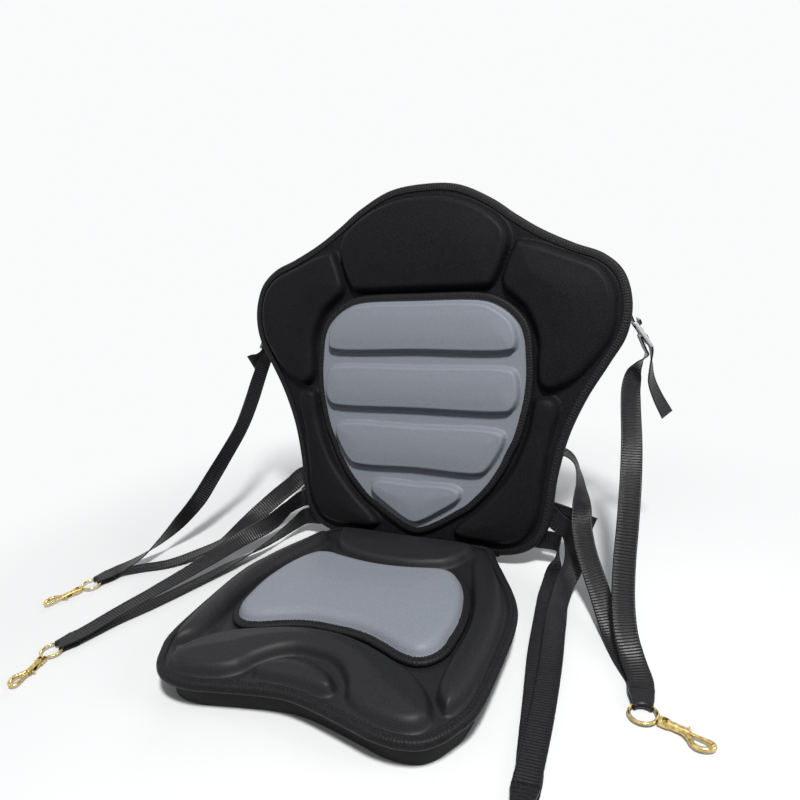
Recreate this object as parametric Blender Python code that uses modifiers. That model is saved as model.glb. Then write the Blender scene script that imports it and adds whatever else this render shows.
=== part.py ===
"""Boat seat cushion: a padded seat and backrest joined by a cloth fold, held by webbing straps.

Metres, +Z up. The seat faces -Y and lies on the plane z = 0; x = 0 is its centre line.
Outlines and strap routes are in millimetres, read by mm_loop and strap_route.
"""
import math

import bmesh
import bpy
from mathutils import Matrix, Vector

MM = 0.001
COLLECTION = "boat_seat_cushion"
GAP = 0.3 * MM

# Where the two cushions stand
BACK_RECLINE = math.radians(14.7)
BACK_FOOT = Vector((0.0, 102.9, 12.5)) * MM
SEAT_REAR_Y = 93.0 * MM
SEAT_HEIGHT = 28.0 * MM

# Moulded sheets, edge tape and pads
SHEET = 3.0 * MM
SEAT_SHEET = 6.3 * MM
TAPE = 1.2 * MM
TAPE_WIDTH = 8.0 * MM
SHIELD_TAPE_WIDTH = 7.5 * MM
FOAM_INSET = 12.0 * MM
SHIELD_LIP = 1.2 * MM
PAD_ROUND = 5.0 * MM
HEAD_RISE = 16.0 * MM
SHOULDER_RISE = 16.0 * MM
LUMBAR_RISE = 14.0 * MM
RIB_RISE = 9.5 * MM
RIB_ROUND = 3.5 * MM
REAR_PAD_RISE = 13.0 * MM
ROLL_RISE = 16.0 * MM
ARCH_RISE = 16.0 * MM
POMMEL_RISE = 12.0 * MM
SADDLE_RISE = 14.0 * MM
SADDLE_ROUND = 8.0 * MM
SADDLE_LIP = 1.5 * MM

# Sampling of the outlines
EDGE_STEP = 18.0 * MM
PAD_STEP = 11.5 * MM
STRAP_STEP = 16.0 * MM
CURVE_SAMPLES = 12
FOLD_STEPS = 6
RING_STEPS = 20
ROD_SIDES = 12
COLLAR_SIDES = 14
THIN_ROD_SIDES = 10
STUD_SIDES = 8

# Cloth fold between the cushions
FOLD_WIDTH = 192.0 * MM
FOLD_CLOTH = 1.0 * MM
FOLD_LAP = 18.0 * MM

# Webbing and its ladder buckles
WEB_WIDTH = 20.0 * MM
WEB = 1.6 * MM
BUCKLE_LENGTH = 30.0 * MM
BUCKLE_RIM = 2.5 * MM
BUCKLE_THICK = 3.5 * MM
BUCKLE_BAR = 3.5 * MM
BUCKLE_SLOT = 5.5 * MM
BUCKLE_ROUND = 0.8 * MM

# Swivel snap hooks
RING_RADIUS = 10.5 * MM
RING_WIRE = 2.6 * MM
PIN_WIDTH = 2.2 * MM
PIN_PLAY = 0.3 * MM
PIN_HEAD_WIDTH = 4.4 * MM
PIN_HEAD_LENGTH = 1.8 * MM
COLLAR_WIDTH = 8.0 * MM
COLLAR_LENGTH = 2.3 * MM
COLLAR_WINDOW = 3.5 * MM
BARREL_WIDTH = 6.4 * MM
BARREL_LENGTH = 16.0 * MM
BOLT_WIDTH = 2.8 * MM
BOLT_PLAY = 0.3 * MM
BOLT_TRAVEL = 6.0 * MM
BOLT_LENGTH = 17.0 * MM
STUD_WIDTH = 2.0 * MM
STUD_REACH = 6.0 * MM
STUD_SETBACK = 2.5 * MM
ARM_WIDTH = 4.0 * MM
MOUTH_LENGTH = 12.5 * MM
MOUTH_DEPTH = 8.5 * MM
LOOP_LEG = 14.0 * MM
LOOP_WAIST = 8.6 * MM

# Half outlines of the backrest, x and height up the panel, from the top to the bottom
BACK_EDGE = [(0, 405), (40, 401), (78, 383), (105, 364), (132, 347), (165, 331), (194, 319), (213, 301),
             (222, 270), (218, 238), (203, 210), (183, 175), (166, 134), (156, 90), (152, 55), (145, 28),
             (129, 10), (105, 1), (70, 0), (0, 0)]
HEAD_PAD = [(0, 391), (28, 389), (53, 382), (73, 372), (88, 361), (97, 350), (100, 338), (97, 322),
            (90, 304), (81, 290), (68, 288.5), (0, 288.5)]
SHIELD = [(0, 279), (76, 277), (94, 270), (106, 261), (115, 250), (120, 236), (122, 217), (123, 198),
          (122, 180), (119, 161), (111, 130), (104, 115), (97, 99), (84, 78), (73, 65), (60, 52),
          (48, 44), (36, 36), (24, 29), (12, 23), (0, 20)]
RIBS = [[(0, 274), (76, 272), (91, 265), (102, 257), (109, 247), (112, 235), (110, 224), (102, 221),
         (0, 221)],
        [(0, 204), (100, 204), (110, 201), (115, 187), (114, 168), (107, 158), (98, 156), (0, 156)],
        [(0, 138), (92, 138), (101, 134), (101, 124), (84, 94), (76, 89), (0, 89)],
        [(0, 73), (46, 73), (54, 68), (53, 59), (44, 51), (30, 42), (14, 32), (0, 27)]]

# Closed outlines at one side of the backrest
SHOULDER_PAD = [(108, 336), (118, 335), (131, 332), (154, 323), (172, 316), (188, 309), (200, 297),
                (207, 281), (208, 260), (205, 240), (198, 226), (186, 209), (172, 194), (157, 185),
                (143, 181), (135, 189), (133, 208), (133, 231), (128, 249), (119, 266), (107, 277),
                (96, 287), (93, 296), (96, 309), (101, 323)]
LUMBAR_PAD = [(132, 173), (144, 176), (153, 172), (156, 160), (152, 145), (147, 125), (144, 100), (141, 79),
              (139, 57), (136, 43), (128, 28), (116, 18), (100, 14), (74, 14), (54, 15), (46, 21),
              (52, 32), (72, 50), (92, 72), (107, 93), (118, 117), (126, 141), (129, 162)]

# Half outlines of the seat, x and depth from its rear, from the rear to the front
SEAT_EDGE = [(0, 7), (70, 7), (88, 8), (98, 15), (106, 31), (119, 53), (138, 87), (147, 110), (151, 135),
             (152, 170), (152, 200), (151, 230), (148, 248), (142, 261), (134, 275), (122, 286), (106, 291),
             (85, 291), (62, 286), (40, 281), (20, 277), (0, 275)]
SADDLE = [(0, 85), (20, 84), (45, 80), (62, 77), (76, 80), (87, 91), (95, 106), (101, 125), (105, 148),
          (105, 172), (103, 190), (96, 202), (86, 207), (72, 205), (55, 198), (35, 191), (15, 188), (0, 188)]
REAR_PAD = [(0, 17), (70, 17), (78, 20), (79, 29), (75, 41), (69, 53), (60, 62), (45, 68), (25, 73),
            (0, 74.5)]
POMMEL = [(0, 240), (14, 241), (27, 247), (35, 255), (37, 263), (29, 266), (15, 265), (0, 264)]

# Closed outlines at one side of the seat, and the arch across its front
ROLL = [(92, 33), (99, 37), (110, 58), (125, 88), (136, 120), (141, 155), (142, 190), (140, 225), (136, 245),
        (130, 255), (124, 250), (117, 240), (114, 222), (114, 200), (115, 175), (114, 150), (109, 123),
        (99, 93), (89, 63), (86, 48), (87, 38)]
FRONT_ARCH = [(0, 227), (18, 229), (33, 238), (45, 252), (51, 264), (61, 272), (78, 278), (95, 281),
              (108, 280), (117, 275), (121, 266), (118, 255), (110, 242), (99, 231), (84, 221), (66, 213),
              (40, 203), (20, 198.5), (0, 197)]

# Ladder buckles: centre, direction from tab to strap, direction across
BUCKLES = {
    "left_shoulder": ((-221, 190, 235), (-0.30, -0.15, -0.94), (-0.30, -0.95, 0.0)),
    "right_shoulder": ((229, 186, 240), (0.38, 0.03, -0.92), (-0.30, 0.95, 0.0)),
    "left_waist": ((-140, 126.6, 47.6), (-0.97, -0.056, -0.213), (-0.22, 0.246, 0.938)),
    "right_waist": ((122, 130.7, 69.3), (0.92, -0.099, -0.377), (-0.39, -0.2335, -0.89)),
}

# Webbing sewn to the backrest's rear face: x and height up the panel; then free points
TABS = {
    "left_shoulder": [(-150, 243), (-173, 245)],
    "right_shoulder": [(157, 250), (180, 252)],
    "left_waist": [(-80, 53.5), (-103, 48.5)],
    "right_waist": [(66, 85.5), (88, 76.5)],
}
TAB_TWISTS = {
    "left_shoulder": [(-188, 189, 255, 0, 0.5, 0.85), (-204, 194, 262, 0.15, 0.9, 0.4)],
    "right_shoulder": [(196, 184, 259, 0, 0.5, 0.85), (211, 188, 265, -0.15, 0.9, 0.4)],
    "left_waist": [],
    "right_waist": [],
}
ANCHORS = {
    "left_upper_return": [(-104, 78), (-130, 72), (-158, 66)],
    "left_lower_return": [(-112, 17), (-134, 16), (-153, 14)],
    "right_upper_return": [(80, 113), (103, 113)],
    "right_lower_return": [(104, 24), (132, 22), (157, 20)],
}

# Snap hooks: centre of the ring, the way the hook points, the way its webbing points
HOOKS = {
    "hook_1": ((-341, -70.5), (-0.32, -0.95), (-0.32, -0.95)),
    "hook_2": ((-282, -177), (0.2, -0.98), (-0.35, -0.93)),
    "hook_3": ((259, -82), (0.955, -0.295), (0.15, -0.99)),
    "hook_4": ((193, -204), (0.05, -1.0), (0.05, -1.0)),
}

# Straps: x, y, z of the centre line, then the direction across the webbing there
LEFT_UPPER = [(-232, 181.5, 203, 0.45, 0.85, 0), (-239, 171, 181, 0.45, 0.85, -0.1),
              (-242, 154, 158, 0.4, 0.85, -0.2), (-245, 128, 131, 0.3, 0.8, -0.5),
              (-254, 100, 104, 0.3, 0.6, -0.7), (-265, 79, 80, 0.3, 0.3, -0.9), (-275, 60, 59, 0.2, 0, -1),
              (-289, 33, 38, -0.2, -0.1, -1), (-303, 7, 22, -0.6, 0, -0.7),
              (-317, -16, 11, -0.9, 0.3, -0.3)]
LEFT_UPPER_RETURN = [(-170, 116, 65, -0.3, 0.2, 0.9), (-183, 101, 55, -0.5, 0.1, 0.8),
                     (-203, 78, 38, -0.65, 0.2, 0.6), (-217, 60, 27, -0.7, 0.5, 0.3),
                     (-234, 40, 15, -0.65, 0.7, -0.1), (-257, 20, 7, -0.7, 0.7, 0),
                     (-283, -4, 2.2, 0.7, -0.6, 0), (-309, -20, 1.3, 0.8, -0.5, 0)]
LEFT_LOWER = [(-173, 105, 38, 0, -0.3, 0.9), (-182, 78, 30, -0.4, -0.1, 0.8), (-202, 38, 24, -0.8, 0, 0.5),
              (-222, -16, 17, -1, 0.3, 0.2), (-244, -73, 12, -1, 0.4, 0), (-260, -110, 8, -1, 0.4, 0)]
LEFT_LOWER_RETURN = [(-163, 97, 19.5, 0.1, -0.3, 0.9), (-177, 56, 12.5, 0.5, -0.2, 0.6),
                     (-203, 6, 5.5, 0.8, -0.3, 0.2), (-241, -78, 1.6, 0.9, -0.4, 0),
                     (-259, -114, 1.1, 0.9, -0.4, 0)]
RIGHT_UPPER = [(229, 184, 210, 0.3, 0.9, 0), (224, 179, 200, 0.65, 0.75, 0), (222, 169, 188, 0.8, 0.6, 0),
               (223, 157, 175, 0.89, 0.46, 0), (227, 131, 145, 0.95, 0.3, 0), (230, 97, 119, 1, 0.1, 0),
               (231, 66, 87, 1, 0, 0), (231, 42, 59, 1, 0, 0), (233, 18, 34, 1, 0, 0), (238, -5, 18, 1, 0, 0),
               (245, -24, 10, 1, 0, 0)]
RIGHT_UPPER_RETURN = [(124, 145, 120, 0, 0.6, 0.8), (143, 149, 120, 0, 0.9, 0.4), (160, 150, 118.5, 0, 1, 0),
                      (173, 140, 109, -0.1, 0.95, -0.3), (180, 124, 92, 0.3, 0.8, -0.3),
                      (183, 108, 79, 0.8, 0.5, -0.1), (185, 94, 65, 1, 0.1, 0), (192, 76, 47, 1, 0, 0),
                      (208, 47, 24, 1, 0, 0), (225, 10, 6, 1, 0, 0), (238, -18, 1.4, 1, 0, 0)]
RIGHT_LOWER = [(155, 126, 48, 0.4, 0.3, 0.85), (167, 124, 40, 0.6, 0.2, 0.7), (175, 108, 31, 0.85, 0.3, 0.3),
               (178, 84, 23, 0.9, 0.3, -0.3), (174, 60, 17, 0.8, 0.2, -0.5), (173, 36, 11, 0.8, 0.1, -0.6),
               (175, 8, 8, 1, 0.1, -0.2), (182, -50, 5, 1, 0.1, 0), (188, -115, 5.5, 1, 0.1, 0)]
RIGHT_LOWER_RETURN = [(159, 96, 24, 0.3, 0, 0.9), (158, 80, 10, 0.8, 0.1, 0.4), (158, 58, 2.4, 1, 0, 0),
                      (162, 20, 1.1, 1, 0, 0), (168, -30, 1.1, 1, 0, 0), (178, -90, 1.1, 1, 0, 0),
                      (187, -145, 1.3, 1, 0, 0)]

# Loose ends beyond the buckles
TAILS = {
    "left_shoulder": [(-239, 185, 210, -0.5, -0.75, 0.2), (-251, 179, 204, -0.7, -0.3, 0.6)],
    "right_shoulder": [(239, 186, 208, 0, 0.95, 0.1), (240, 184, 192, 0.2, 0.95, 0.05),
                       (246, 181, 176, 0.3, 0.93, 0.1), (256, 179.5, 156.5, 0.4, 0.9, 0.2)],
    "left_waist": [(-167, 132, 42, -0.2, 0.2, 0.93), (-171, 143, 40, -0.1, 0.1, 0.95)],
    "right_waist": [(155, 133, 56.2, 0.39, 0.2, 0.89), (172, 135.5, 49.5, 0.3, 0.2, 0.9),
                    (190, 137.5, 41.6, 0.2, 0.3, 0.9)],
}

BLACK_CLOTH = ((0.012, 0.012, 0.013, 1.0), 0.85, 0.0)
GREY_CLOTH = ((0.17, 0.19, 0.22, 1.0), 0.85, 0.0)
BLACK_FOAM = ((0.008, 0.008, 0.009, 1.0), 0.9, 0.0)
BLACK_TAPE = ((0.010, 0.010, 0.011, 1.0), 0.7, 0.0)
BLACK_WEB = ((0.010, 0.010, 0.011, 1.0), 0.6, 0.0)
PALE_PLASTIC = ((0.45, 0.46, 0.47, 1.0), 0.4, 0.0)
BRASS = ((0.72, 0.52, 0.22, 1.0), 0.25, 1.0)


def clear_scene():
    for obj in list(bpy.data.objects):
        bpy.data.objects.remove(obj)


def collection(name):
    group = bpy.data.collections.new(name)
    bpy.context.scene.collection.children.link(group)
    return group


def material(name, finish):
    colour, roughness, metallic = finish
    made = bpy.data.materials.new(name)
    made.use_nodes = True
    shader = made.node_tree.nodes["Principled BSDF"]
    shader.inputs["Base Color"].default_value = colour
    shader.inputs["Roughness"].default_value = roughness
    shader.inputs["Metallic"].default_value = metallic
    return made


def empty(name, matrix):
    """A frame that parts are parented to."""
    frame = bpy.data.objects.new(name, None)
    frame.matrix_world = matrix
    PARTS.objects.link(frame)
    return frame


def add_part(name, mesh, finish, parent=None):
    obj = bpy.data.objects.new(name, mesh)
    obj.parent = parent
    mesh.materials.clear()
    mesh.materials.append(material(name + "_finish", finish))
    PARTS.objects.link(obj)
    return obj


def add_operand(name, mesh, parent=None):
    """A shape that cuts or joins another and is no part itself."""
    obj = bpy.data.objects.new(name, mesh)
    obj.parent = parent
    obj.hide_render = True
    obj.display_type = "WIRE"
    OPERANDS.objects.link(obj)
    return obj


def boolean(obj, operand, operation):
    modifier = obj.modifiers.new(operand.name, "BOOLEAN")
    modifier.operation = operation
    modifier.solver = "EXACT"
    modifier.object = operand


def new_mesh(name, build):
    """A mesh filled by a function that works on a bmesh."""
    shape = bmesh.new()
    build(shape)
    mesh = bpy.data.meshes.new(name)
    shape.to_mesh(mesh)
    shape.free()
    return mesh


def curve_mesh(name, curve):
    """The mesh of a curve, with its caps welded."""
    obj = bpy.data.objects.new(name, curve)
    OPERANDS.objects.link(obj)
    depsgraph = bpy.context.evaluated_depsgraph_get()
    raw = bpy.data.meshes.new_from_object(obj.evaluated_get(depsgraph))
    bpy.data.objects.remove(obj)
    shape = bmesh.new()
    shape.from_mesh(raw)
    bmesh.ops.remove_doubles(shape, verts=shape.verts, dist=0.001 * MM)
    shape.to_mesh(raw)
    shape.free()
    raw.name = name
    return raw


def spline_point(p0, p1, p2, p3, share):
    """A point between p1 and p2 on a centripetal Catmull-Rom spline."""
    k0 = 0.0
    k1 = k0 + math.sqrt((p1 - p0).length)
    k2 = k1 + math.sqrt((p2 - p1).length)
    k3 = k2 + math.sqrt((p3 - p2).length)
    k = k1 + (k2 - k1) * share
    a = p0.lerp(p1, (k - k0) / (k1 - k0))
    b = p1.lerp(p2, (k - k1) / (k2 - k1))
    c = p2.lerp(p3, (k - k2) / (k3 - k2))
    ab = a.lerp(b, (k - k0) / (k2 - k0))
    bc = b.lerp(c, (k - k1) / (k3 - k1))
    return ab.lerp(bc, (k - k1) / (k2 - k1))


def smooth_loop(points, step):
    """Evenly spaced points, an even number, on a smooth closed curve through the given ones."""
    fine = []
    total = len(points)
    for i in range(total):
        corners = [points[(i + k) % total] for k in (-1, 0, 1, 2)]
        fine.extend(spline_point(*corners, k / CURVE_SAMPLES) for k in range(CURVE_SAMPLES))
    lengths = [0.0]
    for i, point in enumerate(fine):
        lengths.append(lengths[-1] + (fine[(i + 1) % len(fine)] - point).length)
    count = 2 * round(lengths[-1] / step / 2)
    loop = []
    i = 0
    for k in range(count):
        target = lengths[-1] * k / count
        while lengths[i + 1] < target:
            i += 1
        share = (target - lengths[i]) / (lengths[i + 1] - lengths[i])
        loop.append(fine[i].lerp(fine[(i + 1) % len(fine)], share))
    return loop


def mm_loop(points, step, side=1):
    """A closed outline in millimetres, side -1 mirrored, as a smooth loop in metres."""
    return smooth_loop([Vector((side * x, y)) * MM for x, y in points], step)


def mirrored(points):
    """The closed outline of a half that starts and ends on the centre line."""
    return list(points) + [(-x, y) for x, y in reversed(points[1:-1])]


def turned_left(loop):
    area = sum(a.x * b.y - b.x * a.y for a, b in zip(loop, loop[1:] + loop[:1]))
    return area > 0


def inward(loop, i):
    """Step from a loop's corner that moves both its sides inwards by one."""
    before = (loop[i] - loop[i - 1]).normalized()
    after = (loop[(i + 1) % len(loop)] - loop[i]).normalized()
    sum_way = before + after
    normal = Vector((-sum_way.y, sum_way.x)).normalized()
    if not turned_left(loop):
        normal = -normal
    across = Vector((-before.y, before.x))
    return normal / abs(normal.dot(across))


def inset(loop, amount):
    return [point + inward(loop, i) * amount for i, point in enumerate(loop)]


def plate(name, loop, low, high):
    """A flat sheet of a given outline between two heights."""
    curve = bpy.data.curves.new(name, "CURVE")
    curve.dimensions = "2D"
    curve.fill_mode = "BOTH"
    curve.extrude = (high - low) / 2
    spline = curve.splines.new("POLY")
    spline.points.add(len(loop) - 1)
    for knot, point in zip(spline.points, loop):
        knot.co = (point.x, point.y, 0, 1)
    spline.use_cyclic_u = True
    mesh = curve_mesh(name, curve)
    mesh.transform(Matrix.Translation((0, 0, (low + high) / 2)))
    return mesh


def pad(name, loop, low, high, rounding):
    """A plate with its upper rim rounded over."""
    mesh = plate(name, loop, low, high)
    shape = bmesh.new()
    shape.from_mesh(mesh)
    bmesh.ops.dissolve_limit(shape, angle_limit=math.radians(1), verts=[], edges=shape.edges)
    level = high - GAP
    rim = [edge for edge in shape.edges if all(vert.co.z > level for vert in edge.verts)]
    bmesh.ops.bevel(shape, geom=rim, offset=rounding, offset_type="OFFSET", affect="EDGES",
                    segments=2, profile=0.5, clamp_overlap=True)
    shape.to_mesh(mesh)
    shape.free()
    return mesh


def padded_sheet(name, edge, low, high, pads, finish, parent):
    """A moulded sheet with pads standing on it, one solid. Pads are loop, rise and rounding."""
    sheet = add_part(name, plate(name, edge, low, high), finish, parent)
    root = (low + high) / 2
    pile = bmesh.new()
    for loop, rise, rounding in pads:
        pile.from_mesh(pad(name + "_pad", loop, root, high + rise, rounding))
    mesh = bpy.data.meshes.new(name + "_pads")
    pile.to_mesh(mesh)
    pile.free()
    boolean(sheet, add_operand(name + "_pads", mesh, parent), "UNION")
    return sheet


def edge_tape(name, loop, half, width, finish, parent):
    """Tape folded round an edge: a U section, its outer faces half away from the middle plane."""
    def build(shape):
        rows = []
        for i, point in enumerate(loop):
            inner = point + inward(loop, i) * width
            section = [(inner, half), (point, half), (point, -half), (inner, -half)]
            rows.append([shape.verts.new((at.x, at.y, height)) for at, height in section])
        for i, row in enumerate(rows):
            after = rows[(i + 1) % len(rows)]
            for k in range(3):
                shape.faces.new((row[k], row[k + 1], after[k + 1], after[k]))
        bmesh.ops.recalc_face_normals(shape, faces=shape.faces)
    mesh = new_mesh(name, build)
    tape = add_part(name, mesh, finish, parent)
    solid = tape.modifiers.new("thickness", "SOLIDIFY")
    outwards = (mesh.polygons[1].normal.xy).dot(loop[0] - inset(loop, width)[0]) > 0
    solid.thickness = TAPE
    solid.offset = -1 if outwards else 1
    solid.use_even_offset = True
    return tape


def backrest(frame):
    edge = mm_loop(mirrored(BACK_EDGE), EDGE_STEP)
    sheet_edge = inset(edge, TAPE + GAP)
    top = GAP / 2 + SHEET
    pads = [(mm_loop(mirrored(HEAD_PAD), PAD_STEP), HEAD_RISE, PAD_ROUND)]
    for side in (-1, 1):
        pads.append((mm_loop(SHOULDER_PAD, PAD_STEP, side), SHOULDER_RISE, PAD_ROUND))
        pads.append((mm_loop(LUMBAR_PAD, PAD_STEP, side), LUMBAR_RISE, PAD_ROUND))
    padded_sheet("backrest_front_panel", sheet_edge, GAP / 2, top, pads, BLACK_CLOTH, frame)
    rear = plate("backrest_rear_panel", sheet_edge, -top, -GAP / 2)
    add_part("backrest_rear_panel", rear, BLACK_CLOTH, frame)
    edge_tape("backrest_binding", edge, top + GAP + TAPE, TAPE_WIDTH, BLACK_TAPE, frame)


def stacked_pad(name, grey_edge, base, lip, pads, finish, frame, binding):
    """A taped sheet sewn onto a panel at height base; its pads stand out of the tape's opening."""
    low = base + 2 * GAP + TAPE
    high = low + SHEET
    outer = inset(grey_edge, lip - SHIELD_TAPE_WIDTH)
    padded_sheet(name, inset(outer, TAPE + GAP), low, high, pads, finish, frame)
    middle = frame.matrix_world @ Matrix.Translation((0, 0, (low + high) / 2))
    level = empty(name + "_level", middle)
    edge_tape(binding, outer, SHEET / 2 + GAP + TAPE, SHIELD_TAPE_WIDTH, BLACK_TAPE, level)


def shield(frame):
    grey = mm_loop(mirrored(SHIELD), EDGE_STEP)
    ribs = [(mm_loop(mirrored(rib), PAD_STEP), RIB_RISE, RIB_ROUND) for rib in RIBS]
    base = GAP / 2 + SHEET
    stacked_pad("backrest_grey_panel", grey, base, SHIELD_LIP, ribs, GREY_CLOTH, frame, "grey_panel_binding")


def seat(frame):
    edge = mm_loop(mirrored(SEAT_EDGE), EDGE_STEP)
    half = SEAT_SHEET / 2
    pads = [(mm_loop(mirrored(REAR_PAD), PAD_STEP), REAR_PAD_RISE, PAD_ROUND),
            (mm_loop(mirrored(FRONT_ARCH), PAD_STEP), ARCH_RISE, PAD_ROUND),
            (mm_loop(mirrored(POMMEL), PAD_STEP), POMMEL_RISE, PAD_ROUND)]
    for side in (-1, 1):
        pads.append((mm_loop(ROLL, PAD_STEP, side), ROLL_RISE, PAD_ROUND))
    padded_sheet("seat_top_panel", inset(edge, TAPE + GAP), -half, half, pads, BLACK_CLOTH, frame)
    edge_tape("seat_binding", edge, half + GAP + TAPE, TAPE_WIDTH, BLACK_TAPE, frame)
    foam = plate("seat_base_foam", inset(edge, FOAM_INSET), -SEAT_HEIGHT, -half - GAP)
    add_part("seat_base_foam", foam, BLACK_FOAM, frame)


def saddle(frame):
    grey = mm_loop(mirrored(SADDLE), EDGE_STEP)
    crown = [(inset(grey, SADDLE_LIP), SADDLE_RISE, SADDLE_ROUND)]
    base = SEAT_SHEET / 2
    stacked_pad("seat_saddle_pad", grey, base, SADDLE_LIP, crown, GREY_CLOTH, frame, "saddle_binding")


def section_route(corners, across):
    """A route for a ribbon, each point with the same direction across."""
    return [(point, across) for point in corners]


def smooth_route(route, step):
    """The route's points and directions with smooth curves between them."""
    points = [point for point, across in route]
    first = points[0] * 2 - points[1]
    last = points[-1] * 2 - points[-2]
    padded = [first] + points + [last]
    smooth = []
    for i in range(len(points) - 1):
        parts = max(1, round((points[i + 1] - points[i]).length / step))
        for k in range(parts):
            share = k / parts
            point = spline_point(*padded[i:i + 4], share)
            smooth.append((point, route[i][1].lerp(route[i + 1][1], share)))
    smooth.append(route[-1])
    return smooth


def ribbon(name, route, width, thickness, finish):
    """A flat strip along a route, with thickness on both sides of its middle."""
    def build(shape):
        rows = []
        for i, (point, across) in enumerate(route):
            way = route[min(i + 1, len(route) - 1)][0] - route[max(i - 1, 0)][0]
            way.normalize()
            side = (across - way * across.dot(way)).normalized() * width / 2
            rows.append([shape.verts.new(point - side), shape.verts.new(point + side)])
        for near, far in zip(rows, rows[1:]):
            shape.faces.new((near[0], near[1], far[1], far[0]))
    strip = add_part(name, new_mesh(name, build), finish)
    solid = strip.modifiers.new("thickness", "SOLIDIFY")
    solid.thickness = thickness
    solid.offset = 0
    solid.use_even_offset = False
    return strip


def back_point(frame, x, height, rise):
    return frame.matrix_world @ Vector((x, height, rise))


def fold_strip(back_frame):
    """Cloth from the backrest's rear face, under its foot, to the seat's underside."""
    off = FOLD_CLOTH / 2 + GAP
    back_face = GAP / 2 + SHEET + GAP + TAPE + off
    seat_under = SEAT_HEIGHT - SEAT_SHEET / 2 - GAP - TAPE - off
    rear = SEAT_REAR_Y - SEAT_EDGE[0][1] * MM
    corners = [back_point(back_frame, 0, FOLD_LAP, -back_face),
               back_point(back_frame, 0, 0, -back_face),
               back_point(back_frame, 0, -off, -back_face + off),
               back_point(back_frame, 0, -off, back_face - off),
               Vector((0, rear + 3 * off, seat_under - 2 * off)),
               Vector((0, rear - off, seat_under)),
               Vector((0, rear - FOAM_INSET + off + GAP, seat_under))]
    ribbon("fold_strip", section_route(corners, Vector((1, 0, 0))), FOLD_WIDTH, FOLD_CLOTH, BLACK_CLOTH)


def hook_matrices(name):
    """The frames of a hook and of its webbing, both about the ring's centre."""
    centre, way, web_way = HOOKS[name]
    place = Matrix.Translation(Vector((centre[0] * MM, centre[1] * MM, HOOK_HEIGHT)))
    turns = (math.atan2(at[1], at[0]) for at in (way, web_way))
    return [place @ Matrix.Rotation(turn, 4, "Z") for turn in turns]


def rod_mesh(name, start, end, width, sides=ROD_SIDES):
    """A cylinder between two points."""
    way = end - start
    turn = way.to_track_quat("Z", "Y").to_matrix().to_4x4()
    place = Matrix.Translation((start + end) / 2) @ turn

    def build(shape):
        bmesh.ops.create_cone(shape, cap_ends=True, segments=sides, radius1=width / 2,
                              radius2=width / 2, depth=way.length, matrix=place)
    return new_mesh(name, build)


def axis_rod(name, start, end, width, sides=ROD_SIDES):
    """A cylinder on the hook's own axis, between two distances from its ring's centre."""
    return rod_mesh(name, Vector((start, 0, 0)), Vector((end, 0, 0)), width, sides)


def box_mesh(name, low, high):
    def build(shape):
        centre = (low + high) / 2
        size = high - low
        scale = Matrix.Diagonal((size.x, size.y, size.z, 1))
        bmesh.ops.create_cube(shape, size=1, matrix=Matrix.Translation(centre) @ scale)
    return new_mesh(name, build)


def torus_mesh(name, radius, wire, around, sides):
    """A ring in the plane z = 0: a circle of wire swept round by a closed curve."""
    curve = bpy.data.curves.new(name, "CURVE")
    curve.dimensions = "3D"
    curve.bevel_depth = wire / 2
    curve.bevel_resolution = sides
    spline = curve.splines.new("POLY")
    spline.points.add(around - 1)
    for i, knot in enumerate(spline.points):
        turn = 2 * math.pi * i / around
        knot.co = (radius * math.cos(turn), radius * math.sin(turn), 0, 1)
    spline.use_cyclic_u = True
    return curve_mesh(name, curve)


def tube_mesh(name, points, width):
    curve = bpy.data.curves.new(name, "CURVE")
    curve.dimensions = "3D"
    curve.bevel_depth = width / 2
    curve.bevel_resolution = 1
    curve.use_fill_caps = True
    spline = curve.splines.new("POLY")
    spline.points.add(len(points) - 1)
    for knot, point in zip(spline.points, points):
        knot.co = (*point, 1)
    return curve_mesh(name, curve)


def hook_eye(name, frame):
    """The ring with its swivel pin, whose head sits in the hook's window."""
    ring = torus_mesh(name + "_eye", RING_RADIUS, RING_WIRE, RING_STEPS, 1)
    eye = add_part(name + "_eye", ring, BRASS, frame)
    overlap = PIN_HEAD_LENGTH / 2
    stem = axis_rod("stem", RING_RADIUS, HEAD_X + overlap, PIN_WIDTH, THIN_ROD_SIDES)
    boolean(eye, add_operand(name + "_stem", stem, frame), "UNION")
    head = axis_rod("head", HEAD_X, HEAD_X + PIN_HEAD_LENGTH, PIN_HEAD_WIDTH)
    boolean(eye, add_operand(name + "_head", head, frame), "UNION")


def arm_points():
    """Centre line of the hook's open side, from the barrel round to the bolt's tip."""
    start = BARREL_END - ARM_WIDTH
    deep = -MOUTH_DEPTH - BOLT_WIDTH / 2
    return [Vector(point) for point in (
        (start, -BARREL_WIDTH / 2 + ARM_WIDTH / 2, 0),
        (BARREL_END + 0.15 * MOUTH_LENGTH, 0.55 * deep, 0),
        (BARREL_END + 0.45 * MOUTH_LENGTH, 0.93 * deep, 0),
        (BARREL_END + 0.80 * MOUTH_LENGTH, deep, 0),
        (BARREL_END + 1.20 * MOUTH_LENGTH, 0.80 * deep, 0),
        (TIP_X + 1.3 * ARM_WIDTH, 0.40 * deep, 0),
        (TIP_X + 1.0 * ARM_WIDTH, -0.25 * ARM_WIDTH, 0),
        (TIP_X, 0, 0))]


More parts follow.
